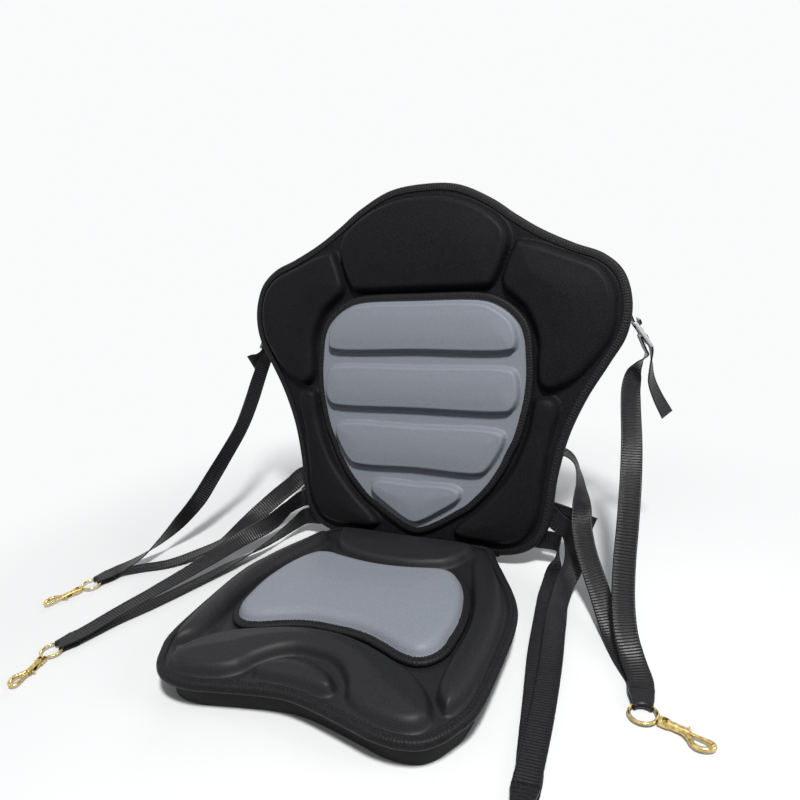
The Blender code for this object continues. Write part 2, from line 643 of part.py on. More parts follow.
def hook_body(name, frame):
    """The swivelling hook: collar, window, bored barrel and the open arm."""
    body_name = name + "_body"
    window_end = WINDOW_X + COLLAR_WINDOW
    collar = axis_rod(body_name, COLLAR_X, window_end + TAPER, COLLAR_WIDTH, COLLAR_SIDES)
    body = add_part(body_name, collar, BRASS, frame)
    barrel = axis_rod("barrel", window_end + TAPER / 2, BARREL_END, BARREL_WIDTH)
    boolean(body, add_operand(name + "_barrel", barrel, frame), "UNION")
    boolean(body, add_operand(name + "_arm", tube_mesh("arm", arm_points(), ARM_WIDTH), frame), "UNION")
    reach = Vector((0, PIN_HEAD_WIDTH / 2 + PIN_PLAY, COLLAR_WIDTH))
    window = box_mesh("window", Vector((WINDOW_X, 0, 0)) - reach, Vector((window_end, 0, 0)) + reach)
    boolean(body, add_operand(name + "_window", window, frame), "DIFFERENCE")
    hole = axis_rod("hole", COLLAR_X - MM, WINDOW_X + MM, PIN_WIDTH + 2 * PIN_PLAY, THIN_ROD_SIDES)
    boolean(body, add_operand(name + "_hole", hole, frame), "DIFFERENCE")
    bore = axis_rod("bore", BORE_X, BARREL_END + MM, BOLT_WIDTH + 2 * BOLT_PLAY)
    boolean(body, add_operand(name + "_bore", bore, frame), "DIFFERENCE")
    half = STUD_WIDTH / 2 + BOLT_PLAY
    slot = box_mesh("slot", Vector((STUD_X - BOLT_TRAVEL - half, 0, -half)),
                    Vector((STUD_X + half, BARREL_WIDTH, half)))
    boolean(body, add_operand(name + "_slot", slot, frame), "DIFFERENCE")


def hook_bolt(name, frame):
    """The sprung bolt that closes the hook, with its thumb stud."""
    pin = axis_rod(name + "_bolt", TIP_X - GAP - BOLT_LENGTH, TIP_X - GAP, BOLT_WIDTH)
    bolt = add_part(name + "_bolt", pin, BRASS, frame)
    stud = rod_mesh("stud", Vector((STUD_X, 0, 0)), Vector((STUD_X, STUD_REACH, 0)), STUD_WIDTH, STUD_SIDES)
    boolean(bolt, add_operand(name + "_stud", stud, frame), "UNION")


def end_loop(name, matrix):
    """Webbing folded through the ring, its two legs lying above and below the wire."""
    shift = RING_WIRE / 2 + GAP + WEB / 2
    columns = (-1.0, -0.5, 0.0, 0.5, 1.0)
    spread = LOOP_WAIST / RING_RADIUS
    fold_tilts = [math.pi * (0.5 + k / FOLD_STEPS) for k in range(FOLD_STEPS + 1)]

    def build(shape):
        rows = []
        leg_x = -RING_RADIUS - LOOP_LEG
        rows.append([Vector((leg_x, side * WEB_WIDTH / 2, shift)) for side in columns])
        for tilt in fold_tilts:
            row = []
            for side in columns:
                turned = side * spread
                out = Vector((-math.cos(turned), math.sin(turned), 0))
                fold = out * math.cos(tilt) + Vector((0, 0, math.sin(tilt)))
                row.append(out * RING_RADIUS + fold * shift)
            rows.append(row)
        rows.append([Vector((leg_x, side * WEB_WIDTH / 2, -shift)) for side in columns])
        grid = [[shape.verts.new(point) for point in row] for row in rows]
        for near, far in zip(grid, grid[1:]):
            for k in range(len(columns) - 1):
                shape.faces.new((near[k], near[k + 1], far[k + 1], far[k]))
    frame = empty(name + "_webbing_frame", matrix)
    loop = add_part(name + "_webbing_loop", new_mesh(name + "_webbing_loop", build), BLACK_WEB, frame)
    solid = loop.modifiers.new("thickness", "SOLIDIFY")
    solid.thickness = WEB
    solid.offset = 0
    solid.use_even_offset = True


def hook(name):
    hook_matrix, webbing_matrix = hook_matrices(name)
    frame = empty(name + "_frame", hook_matrix)
    hook_eye(name, frame)
    hook_body(name, frame)
    hook_bolt(name, frame)
    end_loop(name, webbing_matrix)


def buckle_matrix(name):
    """The buckle's frame: x from tab to strap, y across, z its face."""
    centre, way, across = BUCKLES[name]
    x_axis = Vector(way).normalized()
    y_axis = Vector(across)
    y_axis = (y_axis - x_axis * y_axis.dot(x_axis)).normalized()
    z_axis = x_axis.cross(y_axis)
    turn = Matrix((x_axis, y_axis, z_axis)).transposed().to_4x4()
    return Matrix.Translation(Vector(centre) * MM) @ turn


def buckle(name):
    """A ladder buckle: a frame with a tab bar, a slot, a middle bar, a slot and a thumb bar."""
    frame = empty(name + "_buckle_frame", buckle_matrix(name))
    half = Vector((BUCKLE_LENGTH / 2, WEB_WIDTH / 2 + GAP * 2 + BUCKLE_RIM, BUCKLE_THICK / 2))
    body = add_part(name + "_buckle", box_mesh(name + "_buckle", -half, half), PALE_PLASTIC, frame)
    rounding = body.modifiers.new("rounding", "BEVEL")
    rounding.width = BUCKLE_ROUND
    rounding.segments = 1
    for i, start in enumerate((TAB_SLOT_X, STRAP_SLOT_X)):
        low = Vector((start, -WEB_WIDTH / 2 - 2 * GAP, -BUCKLE_THICK))
        high = Vector((start + BUCKLE_SLOT, WEB_WIDTH / 2 + 2 * GAP, BUCKLE_THICK))
        cutter = add_operand(f"{name}_slot_{i}", box_mesh("slot", low, high), frame)
        boolean(body, cutter, "DIFFERENCE")
    return frame


def wrap(frame, bar_low, bar_high, far):
    """Route folded round a bar of the buckle: along its face, over its far side and along its back."""
    off = GAP + WEB / 2
    deep = BUCKLE_THICK / 2
    arc = off * math.sqrt(0.5)
    corner, stay = (bar_low, bar_high) if far < 0 else (bar_high, bar_low)
    local = [(stay, deep + off), (corner, deep + off), (corner + far * arc, deep + arc),
             (corner + far * off, deep), (corner + far * off, -deep), (corner + far * arc, -deep - arc),
             (corner, -deep - off), (stay, -deep - off)]
    return [buckle_place(frame, x, z) for x, z in local]


def buckle_place(frame, x, z):
    """A route point on the buckle's centre line, x along it and z above its middle."""
    across = frame.matrix_world.to_3x3() @ Vector((0, 1, 0))
    return frame.matrix_world @ Vector((x, 0, z)), across


def strap_route(points):
    return [(Vector(point[:3]) * MM, Vector(point[3:]).normalized()) for point in points]


def sewn_route(back_frame, places):
    """Route that lies on the backrest's rear face, its webbing square to the run."""
    off = GAP / 2 + SHEET + GAP + TAPE + GAP + WEB / 2
    run = Vector(places[-1]) - Vector(places[0])
    across = back_frame.matrix_world.to_3x3() @ Vector((-run.y, run.x, 0)).normalized()
    return [(back_point(back_frame, x * MM, height * MM, -off), across) for x, height in places]


def match_ways(route):
    """The same route with each direction across on the same side as the one before it."""
    matched = [route[0]]
    for point, across in route[1:]:
        if across.dot(matched[-1][1]) < 0:
            across = -across
        matched.append((point, across))
    return matched


def tab(name, back_frame, frame):
    """Webbing sewn to the backrest and folded round the buckle's first bar."""
    fold = wrap(frame, -BUCKLE_LENGTH / 2, TAB_SLOT_X, 1)[::-1]
    level = BUCKLE_THICK / 2 + GAP + WEB / 2
    approach = [buckle_place(frame, -BUCKLE_LENGTH / 2 - turns * WEB, -level) for turns in (5, 2)]
    sewn = sewn_route(back_frame, TABS[name]) + strap_route(TAB_TWISTS[name])
    route = smooth_route(match_ways(sewn + approach), STRAP_STEP / 2)
    ribbon(name + "_tab", match_ways(route + fold), WEB_WIDTH, WEB, BLACK_WEB)


def tail(name, frame):
    """The loose end beyond the buckle, up to where the strap leaves the buckle's back."""
    fold = wrap(frame, STRAP_BAR_X, STRAP_BAR_X + BUCKLE_BAR, -1)
    level = BUCKLE_THICK / 2 + GAP + WEB / 2
    beyond = buckle_place(frame, BUCKLE_LENGTH / 2 + 2 * WEB, level)
    loose = smooth_route(match_ways([beyond] + strap_route(TAILS[name])), STRAP_STEP)
    ribbon(name + "_tail", match_ways(loose[::-1] + fold), WEB_WIDTH, WEB, BLACK_WEB)


def strap_start(frame):
    """Where a strap begins at the back of its buckle, just beyond the folded tail."""
    level = BUCKLE_THICK / 2 + GAP + WEB / 2
    starts = (STRAP_BAR_X + BUCKLE_BAR + GAP, BUCKLE_LENGTH / 2 + WEB, BUCKLE_LENGTH / 2 + 4 * WEB)
    return [buckle_place(frame, x, -level) for x in starts]


def strap_end(hook_name, level):
    """The last points of a strap, face to face with its leg of the webbing loop."""
    matrix = hook_matrices(hook_name)[1]
    shift = level * (RING_WIRE / 2 + GAP + WEB / 2)
    across = matrix.to_3x3() @ Vector((0, 1, 0))
    end = -RING_RADIUS - LOOP_LEG - GAP
    return [(matrix @ Vector((x, 0, shift)), across) for x in (end - WEB_WIDTH / 2, end)]


def strap(name, start, points, hook_name, level):
    route = match_ways(start + strap_route(points) + strap_end(hook_name, level))
    ribbon(name, smooth_route(route, STRAP_STEP), WEB_WIDTH, WEB, BLACK_WEB)


def straps(back_frame):
    frames = {}
    for name in BUCKLES:
        frames[name] = buckle(name)
        tab(name, back_frame, frames[name])
        tail(name, frames[name])
    strap("left_upper_strap", strap_start(frames["left_shoulder"]), LEFT_UPPER, "hook_1", 1)
    strap("left_lower_strap", strap_start(frames["left_waist"]), LEFT_LOWER, "hook_2", 1)
    strap("right_upper_strap", strap_start(frames["right_shoulder"]), RIGHT_UPPER, "hook_3", 1)
    strap("right_lower_strap", strap_start(frames["right_waist"]), RIGHT_LOWER, "hook_4", 1)
    returns = {"left_upper_return": (LEFT_UPPER_RETURN, "hook_1"),
               "left_lower_return": (LEFT_LOWER_RETURN, "hook_2"),
               "right_upper_return": (RIGHT_UPPER_RETURN, "hook_3"),
               "right_lower_return": (RIGHT_LOWER_RETURN, "hook_4")}
    for name, (points, hook_name) in returns.items():
        strap(name + "_strap", sewn_route(back_frame, ANCHORS[name]), points, hook_name, -1)


# Places along the hook, from its ring, that follow from the sizes above
HOOK_HEIGHT = COLLAR_WIDTH / 2
COLLAR_X = RING_RADIUS + RING_WIRE / 2 + 2 * GAP
WINDOW_X = COLLAR_X + COLLAR_LENGTH
HEAD_X = WINDOW_X + GAP
TAPER = 1.5 * MM
BARREL_END = WINDOW_X + COLLAR_WINDOW + BARREL_LENGTH
TIP_X = BARREL_END + MOUTH_LENGTH
STUD_X = BARREL_END - STUD_SETBACK
BORE_X = TIP_X - GAP - BOLT_LENGTH - BOLT_TRAVEL - 4 * BOLT_PLAY

# Places along the buckle, from its middle
TAB_SLOT_X = -BUCKLE_LENGTH / 2 + BUCKLE_BAR
STRAP_SLOT_X = TAB_SLOT_X + BUCKLE_SLOT + BUCKLE_BAR
STRAP_BAR_X = STRAP_SLOT_X + BUCKLE_SLOT


def main():
    lean = Matrix.Rotation(math.pi / 2 - BACK_RECLINE, 4, "X")
    back_frame = empty("backrest_frame", Matrix.Translation(BACK_FOOT) @ lean)
    half_turn = Matrix.Rotation(math.pi, 4, "Z")
    seat_frame = empty("seat_frame", Matrix.Translation((0, SEAT_REAR_Y, SEAT_HEIGHT)) @ half_turn)
    bpy.context.view_layer.update()
    backrest(back_frame)
    shield(back_frame)
    seat(seat_frame)
    saddle(seat_frame)
    fold_strip(back_frame)
    for name in HOOKS:
        hook(name)
    straps(back_frame)


clear_scene()
PARTS = collection(COLLECTION)
OPERANDS = collection("operands")
main()
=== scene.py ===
"""Looks of the boat seat cushion: moulded cloth pads, taped edges, ribbed webbing and brass snap hooks.

Metres, +Z up. The outlines and strap routes repeat the part's own, in millimetres.
"""
import math

import bmesh
import bpy
import numpy as np
from mathutils import Matrix, Vector


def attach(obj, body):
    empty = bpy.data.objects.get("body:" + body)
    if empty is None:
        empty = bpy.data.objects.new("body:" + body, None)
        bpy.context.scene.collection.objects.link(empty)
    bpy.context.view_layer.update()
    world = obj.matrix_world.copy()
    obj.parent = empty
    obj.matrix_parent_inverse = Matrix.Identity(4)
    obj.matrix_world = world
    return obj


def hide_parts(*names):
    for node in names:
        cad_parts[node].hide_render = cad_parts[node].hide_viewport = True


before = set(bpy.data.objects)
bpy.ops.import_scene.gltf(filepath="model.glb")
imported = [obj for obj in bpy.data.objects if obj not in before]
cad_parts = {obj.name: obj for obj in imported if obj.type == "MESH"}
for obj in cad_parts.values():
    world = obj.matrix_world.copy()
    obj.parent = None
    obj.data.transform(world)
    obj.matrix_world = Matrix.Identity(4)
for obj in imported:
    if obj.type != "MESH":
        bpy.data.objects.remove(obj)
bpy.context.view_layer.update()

MM = 0.001
GAP = 0.3 * MM

# Camera, with its lens and shift for an 800 pixel square
CAMERA_PLACE = (0.290, -0.541, 0.405)
CAMERA_YAW, CAMERA_PITCH, CAMERA_ROLL = (math.radians(turn) for turn in (27.5, 18.2, -6.2))
CAMERA_LENS_MM = 30.87
CAMERA_SHIFT = (0.03875, 0.02)

# Lamps: name, place, size, power and colour
LAMPS = [
    ("key", (0.62, -0.80, 1.78), 0.25, 52, (1, 0.99, 0.97)),
    ("fill", (-1.5, -1.3, 0.9), 1.6, 3, (1, 1, 1)),
    ("side", (1.7, 0.1, 0.9), 0.8, 7, (1, 1, 1)),
    ("rear", (-0.7, 1.8, 1.0), 1.2, 14, (1, 1, 1)),
]
LAMP_TARGET = (0, 0.1, 0.15)

# Cloths: darkest and lightest colour, specular level, sheen and strength of the weave
CLOTHS = {
    "black_cloth": ((0.002, 0.002, 0.0026), (0.012, 0.012, 0.0140), 0.07, 0.0, 0.55),
    # The seat's cloth is the same black cloth painted lighter: painted light for the light that falls on the
    # seat's top. Its higher specular level gives its crests highlights.
    "seat_black_cloth_lit": ((0.003, 0.003, 0.0036), (0.015, 0.015, 0.0175), 0.22, 0.0, 0.55),
    "grey_cloth": ((0.150, 0.166, 0.193), (0.196, 0.215, 0.250), 0.22, 0.03, 0.3),
}
WEAVE_PERIOD = 1.1 * MM

# Threads: darkest and lightest colour, specular level, roughness and size of the flecks
THREADS = {
    "black_tape": ((0.003, 0.003, 0.0035), (0.014, 0.014, 0.016), 0.12, 0.5, 1.5 * MM),
    "black_webbing": ((0.002, 0.002, 0.0025), (0.013, 0.013, 0.0150), 0.20, 0.36, 1.2 * MM),
    "stitching": ((0.006, 0.006, 0.007), (0.022, 0.022, 0.024), 0.2, 0.5, 0.8 * MM),
}

# Floor and backdrop, as seen and as they light the cushion
FLOOR_SHOWN = (0.66, 0.67, 0.68)
FLOOR_UNSEEN = (0.05, 0.05, 0.05)
FLOOR_FADE = (0.25, 0.62)
BACKDROP = (0.95, 0.96, 0.965)
WORLD_LIGHT = (0.223, 0.230, 0.240)

# Driving sizes, as in the part
BACK_RECLINE = math.radians(14.7)
BACK_FOOT = Vector((0.0, 102.9, 12.5)) * MM
SEAT_REAR_Y = 93.0 * MM
SEAT_HEIGHT = 28.0 * MM
SHEET = 3.0 * MM
SEAT_SHEET = 6.3 * MM
TAPE = 1.2 * MM
TAPE_WIDTH = 8.0 * MM
SHIELD_TAPE_WIDTH = 7.5 * MM
FOAM_INSET = 12.0 * MM
SHIELD_LIP = 1.2 * MM
FOLD_WIDTH = 192.0 * MM
FOLD_CLOTH = 1.0 * MM
FOLD_LAP = 18.0 * MM
WEB_WIDTH = 20.0 * MM
WEB = 1.6 * MM
BUCKLE_LENGTH = 30.0 * MM
BUCKLE_RIM = 2.5 * MM
BUCKLE_THICK = 3.5 * MM
BUCKLE_BAR = 3.5 * MM
BUCKLE_SLOT = 5.5 * MM
RING_RADIUS = 10.5 * MM
RING_WIRE = 2.6 * MM
PIN_WIDTH = 2.2 * MM
PIN_PLAY = 0.3 * MM
PIN_HEAD_WIDTH = 4.4 * MM
PIN_HEAD_LENGTH = 1.8 * MM
COLLAR_WIDTH = 8.0 * MM
COLLAR_LENGTH = 2.3 * MM
COLLAR_WINDOW = 3.5 * MM
BARREL_WIDTH = 6.4 * MM
BARREL_LENGTH = 16.0 * MM
BOLT_WIDTH = 2.8 * MM
BOLT_PLAY = 0.3 * MM
BOLT_TRAVEL = 6.0 * MM
BOLT_LENGTH = 17.0 * MM
STUD_WIDTH = 2.0 * MM
STUD_REACH = 6.0 * MM
STUD_SETBACK = 2.5 * MM
ARM_WIDTH = 4.0 * MM
MOUTH_LENGTH = 12.5 * MM
MOUTH_DEPTH = 8.5 * MM
LOOP_LEG = 14.0 * MM
LOOP_WAIST = 8.6 * MM
TAPER = 1.5 * MM
HOOK_HEIGHT = COLLAR_WIDTH / 2
COLLAR_X = RING_RADIUS + RING_WIRE / 2 + 2 * GAP
WINDOW_X = COLLAR_X + COLLAR_LENGTH
HEAD_X = WINDOW_X + GAP
BARREL_END = WINDOW_X + COLLAR_WINDOW + BARREL_LENGTH
TIP_X = BARREL_END + MOUTH_LENGTH
STUD_X = BARREL_END - STUD_SETBACK
BORE_X = TIP_X - GAP - BOLT_LENGTH - BOLT_TRAVEL - 4 * BOLT_PLAY
TAB_SLOT_X = -BUCKLE_LENGTH / 2 + BUCKLE_BAR
STRAP_SLOT_X = TAB_SLOT_X + BUCKLE_SLOT + BUCKLE_BAR
STRAP_BAR_X = STRAP_SLOT_X + BUCKLE_SLOT

# Moulded pads, in millimetres: rise, round shoulder, swell of the crown and the reach of the swell
HEAD_FORM = (16, 7, 3.5, 26)
SHOULDER_FORM = (16, 7, 3.5, 24)
LUMBAR_FORM = (14, 7, 3.0, 16)
RIB_FORM = (10.5, 2.8, 1.6, 12)
REAR_FORM = (13, 6.5, 3.5, 18)
ARCH_FORM = (16, 8, 5.5, 22)
POMMEL_FORM = (13, 5, 3.5, 10)
ROLL_FORM = (16, 7, 5.0, 13)
SADDLE_FORM = (14, 11, 4.0, 32)

# Fineness of the surfaces
OUTLINE_STEP = 3 * MM
SHEET_STEP = 4 * MM
SHEET_MARGIN = 2.5 * MM
PANEL_GRID = 1.5 * MM
SMALL_GRID = 1.1 * MM
REAR_GRID = 3 * MM
TAPE_STEP = 0.75 * MM
WEB_STEP = 0.75 * MM
RIB_STEPS = 4

# Ribs: shares of the webbing's thickness, and height on the tape
WEB_RIBS = (0.30, 1.30)
TAPE_RIB = 0.3 * MM

# Half outlines of the backrest, x and height up the panel, from the top to the bottom
BACK_EDGE = [(0, 405), (40, 401), (78, 383), (105, 364), (132, 347), (165, 331), (194, 319), (213, 301),
             (222, 270), (218, 238), (203, 210), (183, 175), (166, 134), (156, 90), (152, 55), (145, 28),
             (129, 10), (105, 1), (70, 0), (0, 0)]
HEAD_PAD = [(0, 391), (28, 389), (53, 382), (73, 372), (88, 361), (97, 350), (100, 338), (97, 322),
            (90, 304), (81, 290), (68, 288.5), (0, 288.5)]
SHIELD = [(0, 279), (76, 277), (94, 270), (106, 261), (115, 250), (120, 236), (122, 217), (123, 198),
          (122, 180), (119, 161), (111, 130), (104, 115), (97, 99), (84, 78), (73, 65), (60, 52),
          (48, 44), (36, 36), (24, 29), (12, 23), (0, 20)]
RIBS = [[(0, 274), (76, 272), (91, 265), (102, 257), (109, 247), (112, 235), (110, 224), (102, 221),
         (0, 221)],
        [(0, 204), (100, 204), (110, 201), (115, 187), (114, 168), (107, 158), (98, 156), (0, 156)],
        [(0, 138), (92, 138), (101, 134), (101, 124), (84, 94), (76, 89), (0, 89)],
        [(0, 73), (46, 73), (54, 68), (53, 59), (44, 51), (30, 42), (14, 32), (0, 27)]]

# Closed outlines at one side of the backrest
SHOULDER_PAD = [(108, 336), (118, 335), (131, 332), (154, 323), (172, 316), (188, 309), (200, 297),
                (207, 281), (208, 260), (205, 240), (198, 226), (186, 209), (172, 194), (157, 185),
                (143, 181), (135, 189), (133, 208), (133, 231), (128, 249), (119, 266), (107, 277),
                (96, 287), (93, 296), (96, 309), (101, 323)]
LUMBAR_PAD = [(132, 173), (144, 176), (153, 172), (156, 160), (152, 145), (147, 125), (144, 100), (141, 79),
              (139, 57), (136, 43), (128, 28), (116, 18), (100, 14), (74, 14), (54, 15), (46, 21),
              (52, 32), (72, 50), (92, 72), (107, 93), (118, 117), (126, 141), (129, 162)]

# Half outlines of the seat, x and depth from its rear, from the rear to the front
SEAT_EDGE = [(0, 7), (70, 7), (88, 8), (98, 15), (106, 31), (119, 53), (138, 87), (147, 110), (151, 135),
             (152, 170), (152, 200), (151, 230), (148, 248), (142, 261), (134, 275), (122, 286), (106, 291),
             (85, 291), (62, 286), (40, 281), (20, 277), (0, 275)]
SADDLE = [(0, 85), (20, 84), (45, 80), (62, 77), (76, 80), (87, 91), (95, 106), (101, 125), (105, 148),
          (105, 172), (103, 190), (96, 202), (86, 207), (72, 205), (55, 198), (35, 191), (15, 188), (0, 188)]
REAR_PAD = [(0, 17), (70, 17), (78, 20), (79, 29), (75, 41), (69, 53), (60, 62), (45, 68), (25, 73),
            (0, 74.5)]
POMMEL = [(0, 240), (14, 241), (27, 247), (35, 255), (37, 263), (29, 266), (15, 265), (0, 264)]

# Closed outlines at one side of the seat, and the arch across its front
ROLL = [(92, 33), (99, 37), (110, 58), (125, 88), (136, 120), (141, 155), (142, 190), (140, 225), (136, 245),
        (130, 255), (124, 250), (117, 240), (114, 222), (114, 200), (115, 175), (114, 150), (109, 123),
        (99, 93), (89, 63), (86, 48), (87, 38)]
FRONT_ARCH = [(0, 227), (18, 229), (33, 238), (45, 252), (51, 264), (61, 272), (78, 278), (95, 281),
              (108, 280), (117, 275), (121, 266), (118, 255), (110, 242), (99, 231), (84, 221), (66, 213),
              (40, 203), (20, 198.5), (0, 197)]

# Ladder buckles: centre, direction from tab to strap, direction across
BUCKLES = {
    "left_shoulder": ((-221, 190, 235), (-0.30, -0.15, -0.94), (-0.30, -0.95, 0.0)),
    "right_shoulder": ((229, 186, 240), (0.38, 0.03, -0.92), (-0.30, 0.95, 0.0)),
    "left_waist": ((-140, 126.6, 47.6), (-0.97, -0.056, -0.213), (-0.22, 0.246, 0.938)),
    "right_waist": ((122, 130.7, 69.3), (0.92, -0.099, -0.377), (-0.39, -0.2335, -0.89)),
}

# Webbing sewn to the backrest's rear face: x and height up the panel; then free points
TABS = {
    "left_shoulder": [(-150, 243), (-173, 245)],
    "right_shoulder": [(157, 250), (180, 252)],
    "left_waist": [(-80, 53.5), (-103, 48.5)],
    "right_waist": [(66, 85.5), (88, 76.5)],
}
TAB_TWISTS = {
    "left_shoulder": [(-188, 189, 255, 0, 0.5, 0.85), (-204, 194, 262, 0.15, 0.9, 0.4)],
    "right_shoulder": [(196, 184, 259, 0, 0.5, 0.85), (211, 188, 265, -0.15, 0.9, 0.4)],
    "left_waist": [],
    "right_waist": [],
}
ANCHORS = {
    "left_upper_return": [(-104, 78), (-130, 72), (-158, 66)],
    "left_lower_return": [(-112, 17), (-134, 16), (-153, 14)],
    "right_upper_return": [(80, 113), (103, 113)],
    "right_lower_return": [(104, 24), (132, 22), (157, 20)],
}

# Snap hooks: centre of the ring, the way the hook points, the way its webbing points
HOOKS = {
    "hook_1": ((-341, -70.5), (-0.32, -0.95), (-0.32, -0.95)),
    "hook_2": ((-282, -177), (0.2, -0.98), (-0.35, -0.93)),
    "hook_3": ((259, -82), (0.955, -0.295), (0.15, -0.99)),
    "hook_4": ((193, -204), (0.05, -1.0), (0.05, -1.0)),
}

# Straps: x, y, z of the centre line, then the direction across the webbing there
LEFT_UPPER = [(-232, 181.5, 203, 0.45, 0.85, 0), (-239, 171, 181, 0.45, 0.85, -0.1),
              (-242, 154, 158, 0.4, 0.85, -0.2), (-245, 128, 131, 0.3, 0.8, -0.5),
              (-254, 100, 104, 0.3, 0.6, -0.7), (-265, 79, 80, 0.3, 0.3, -0.9), (-275, 60, 59, 0.2, 0, -1),
              (-289, 33, 38, -0.2, -0.1, -1), (-303, 7, 22, -0.6, 0, -0.7),
              (-317, -16, 11, -0.9, 0.3, -0.3)]
LEFT_UPPER_RETURN = [(-170, 116, 65, -0.3, 0.2, 0.9), (-183, 101, 55, -0.5, 0.1, 0.8),
                     (-203, 78, 38, -0.65, 0.2, 0.6), (-217, 60, 27, -0.7, 0.5, 0.3),
                     (-234, 40, 15, -0.65, 0.7, -0.1), (-257, 20, 7, -0.7, 0.7, 0),
                     (-283, -4, 2.2, 0.7, -0.6, 0), (-309, -20, 1.3, 0.8, -0.5, 0)]
LEFT_LOWER = [(-173, 105, 38, 0, -0.3, 0.9), (-182, 78, 30, -0.4, -0.1, 0.8), (-202, 38, 24, -0.8, 0, 0.5),
              (-222, -16, 17, -1, 0.3, 0.2), (-244, -73, 12, -1, 0.4, 0), (-260, -110, 8, -1, 0.4, 0)]
LEFT_LOWER_RETURN = [(-163, 97, 19.5, 0.1, -0.3, 0.9), (-177, 56, 12.5, 0.5, -0.2, 0.6),
                     (-203, 6, 5.5, 0.8, -0.3, 0.2), (-241, -78, 1.6, 0.9, -0.4, 0),
                     (-259, -114, 1.1, 0.9, -0.4, 0)]
RIGHT_UPPER = [(229, 184, 210, 0.3, 0.9, 0), (224, 179, 200, 0.65, 0.75, 0), (222, 169, 188, 0.8, 0.6, 0),
               (223, 157, 175, 0.89, 0.46, 0), (227, 131, 145, 0.95, 0.3, 0), (230, 97, 119, 1, 0.1, 0),
               (231, 66, 87, 1, 0, 0), (231, 42, 59, 1, 0, 0), (233, 18, 34, 1, 0, 0), (238, -5, 18, 1, 0, 0),
               (245, -24, 10, 1, 0, 0)]
RIGHT_UPPER_RETURN = [(124, 145, 120, 0, 0.6, 0.8), (143, 149, 120, 0, 0.9, 0.4), (160, 150, 118.5, 0, 1, 0),
                      (173, 140, 109, -0.1, 0.95, -0.3), (180, 124, 92, 0.3, 0.8, -0.3),
                      (183, 108, 79, 0.8, 0.5, -0.1), (185, 94, 65, 1, 0.1, 0), (192, 76, 47, 1, 0, 0),
                      (208, 47, 24, 1, 0, 0), (225, 10, 6, 1, 0, 0), (238, -18, 1.4, 1, 0, 0)]
RIGHT_LOWER = [(155, 126, 48, 0.4, 0.3, 0.85), (167, 124, 40, 0.6, 0.2, 0.7), (175, 108, 31, 0.85, 0.3, 0.3),
               (178, 84, 23, 0.9, 0.3, -0.3), (174, 60, 17, 0.8, 0.2, -0.5), (173, 36, 11, 0.8, 0.1, -0.6),
               (175, 8, 8, 1, 0.1, -0.2), (182, -50, 5, 1, 0.1, 0), (188, -115, 5.5, 1, 0.1, 0)]
RIGHT_LOWER_RETURN = [(159, 96, 24, 0.3, 0, 0.9), (158, 80, 10, 0.8, 0.1, 0.4), (158, 58, 2.4, 1, 0, 0),
                      (162, 20, 1.1, 1, 0, 0), (168, -30, 1.1, 1, 0, 0), (178, -90, 1.1, 1, 0, 0),
                      (187, -145, 1.3, 1, 0, 0)]

# Loose ends beyond the buckles
TAILS = {
    "left_shoulder": [(-239, 185, 210, -0.5, -0.75, 0.2), (-251, 179, 204, -0.7, -0.3, 0.6)],
    "right_shoulder": [(239, 186, 208, 0, 0.95, 0.1), (240, 184, 192, 0.2, 0.95, 0.05),
                       (246, 181, 176, 0.3, 0.93, 0.1), (256, 179.5, 156.5, 0.4, 0.9, 0.2)],
    "left_waist": [(-167, 132, 42, -0.2, 0.2, 0.93), (-171, 143, 40, -0.1, 0.1, 0.95)],
    "right_waist": [(155, 133, 56.2, 0.39, 0.2, 0.89), (172, 135.5, 49.5, 0.3, 0.2, 0.9),
                    (190, 137.5, 41.6, 0.2, 0.3, 0.9)],
}


# Materials

def shader_of(name):
    made = bpy.data.materials.new(name)
    made.use_nodes = True
    nodes = made.node_tree.nodes
    return made, nodes, made.node_tree.links, nodes["Principled BSDF"]


def math_node(nodes, links, operation, first, second):
    node = nodes.new("ShaderNodeMath")
    node.operation = operation
    for socket, value in zip(node.inputs, (first, second)):
        if isinstance(value, (int, float)):
            socket.default_value = value
        else:
            links.new(value, socket)
    return node.outputs[0]


def band(nodes, links, coordinate, direction, period):
    """Ridges across one direction, period apart, from 0 to 1."""
    wave = nodes.new("ShaderNodeTexWave")
    wave.wave_type = "BANDS"
    wave.bands_direction = direction
    wave.inputs["Scale"].default_value = 2 * math.pi / (20 * period)
    links.new(coordinate, wave.inputs["Vector"])
    return wave.outputs["Fac"]


def noise(nodes, links, coordinate, size, detail=3.0):
    texture = nodes.new("ShaderNodeTexNoise")
    texture.inputs["Scale"].default_value = 1 / size
    texture.inputs["Detail"].default_value = detail
    links.new(coordinate, texture.inputs["Vector"])
    return texture.outputs["Fac"]


def colour_ramp(nodes, links, value, dark, light, low=0.3, high=0.7):
    ramp = nodes.new("ShaderNodeValToRGB")
    ramp.color_ramp.elements[0].position = low
    ramp.color_ramp.elements[0].color = (*dark, 1)
    ramp.color_ramp.elements[1].position = high
    ramp.color_ramp.elements[1].color = (*light, 1)
    links.new(value, ramp.inputs["Fac"])
    return ramp.outputs["Color"]


def bump(nodes, links, shader, height, distance, strength):
    node = nodes.new("ShaderNodeBump")
    node.inputs["Distance"].default_value = distance
    node.inputs["Strength"].default_value = strength
    links.new(height, node.inputs["Height"])
    links.new(node.outputs["Normal"], shader.inputs["Normal"])


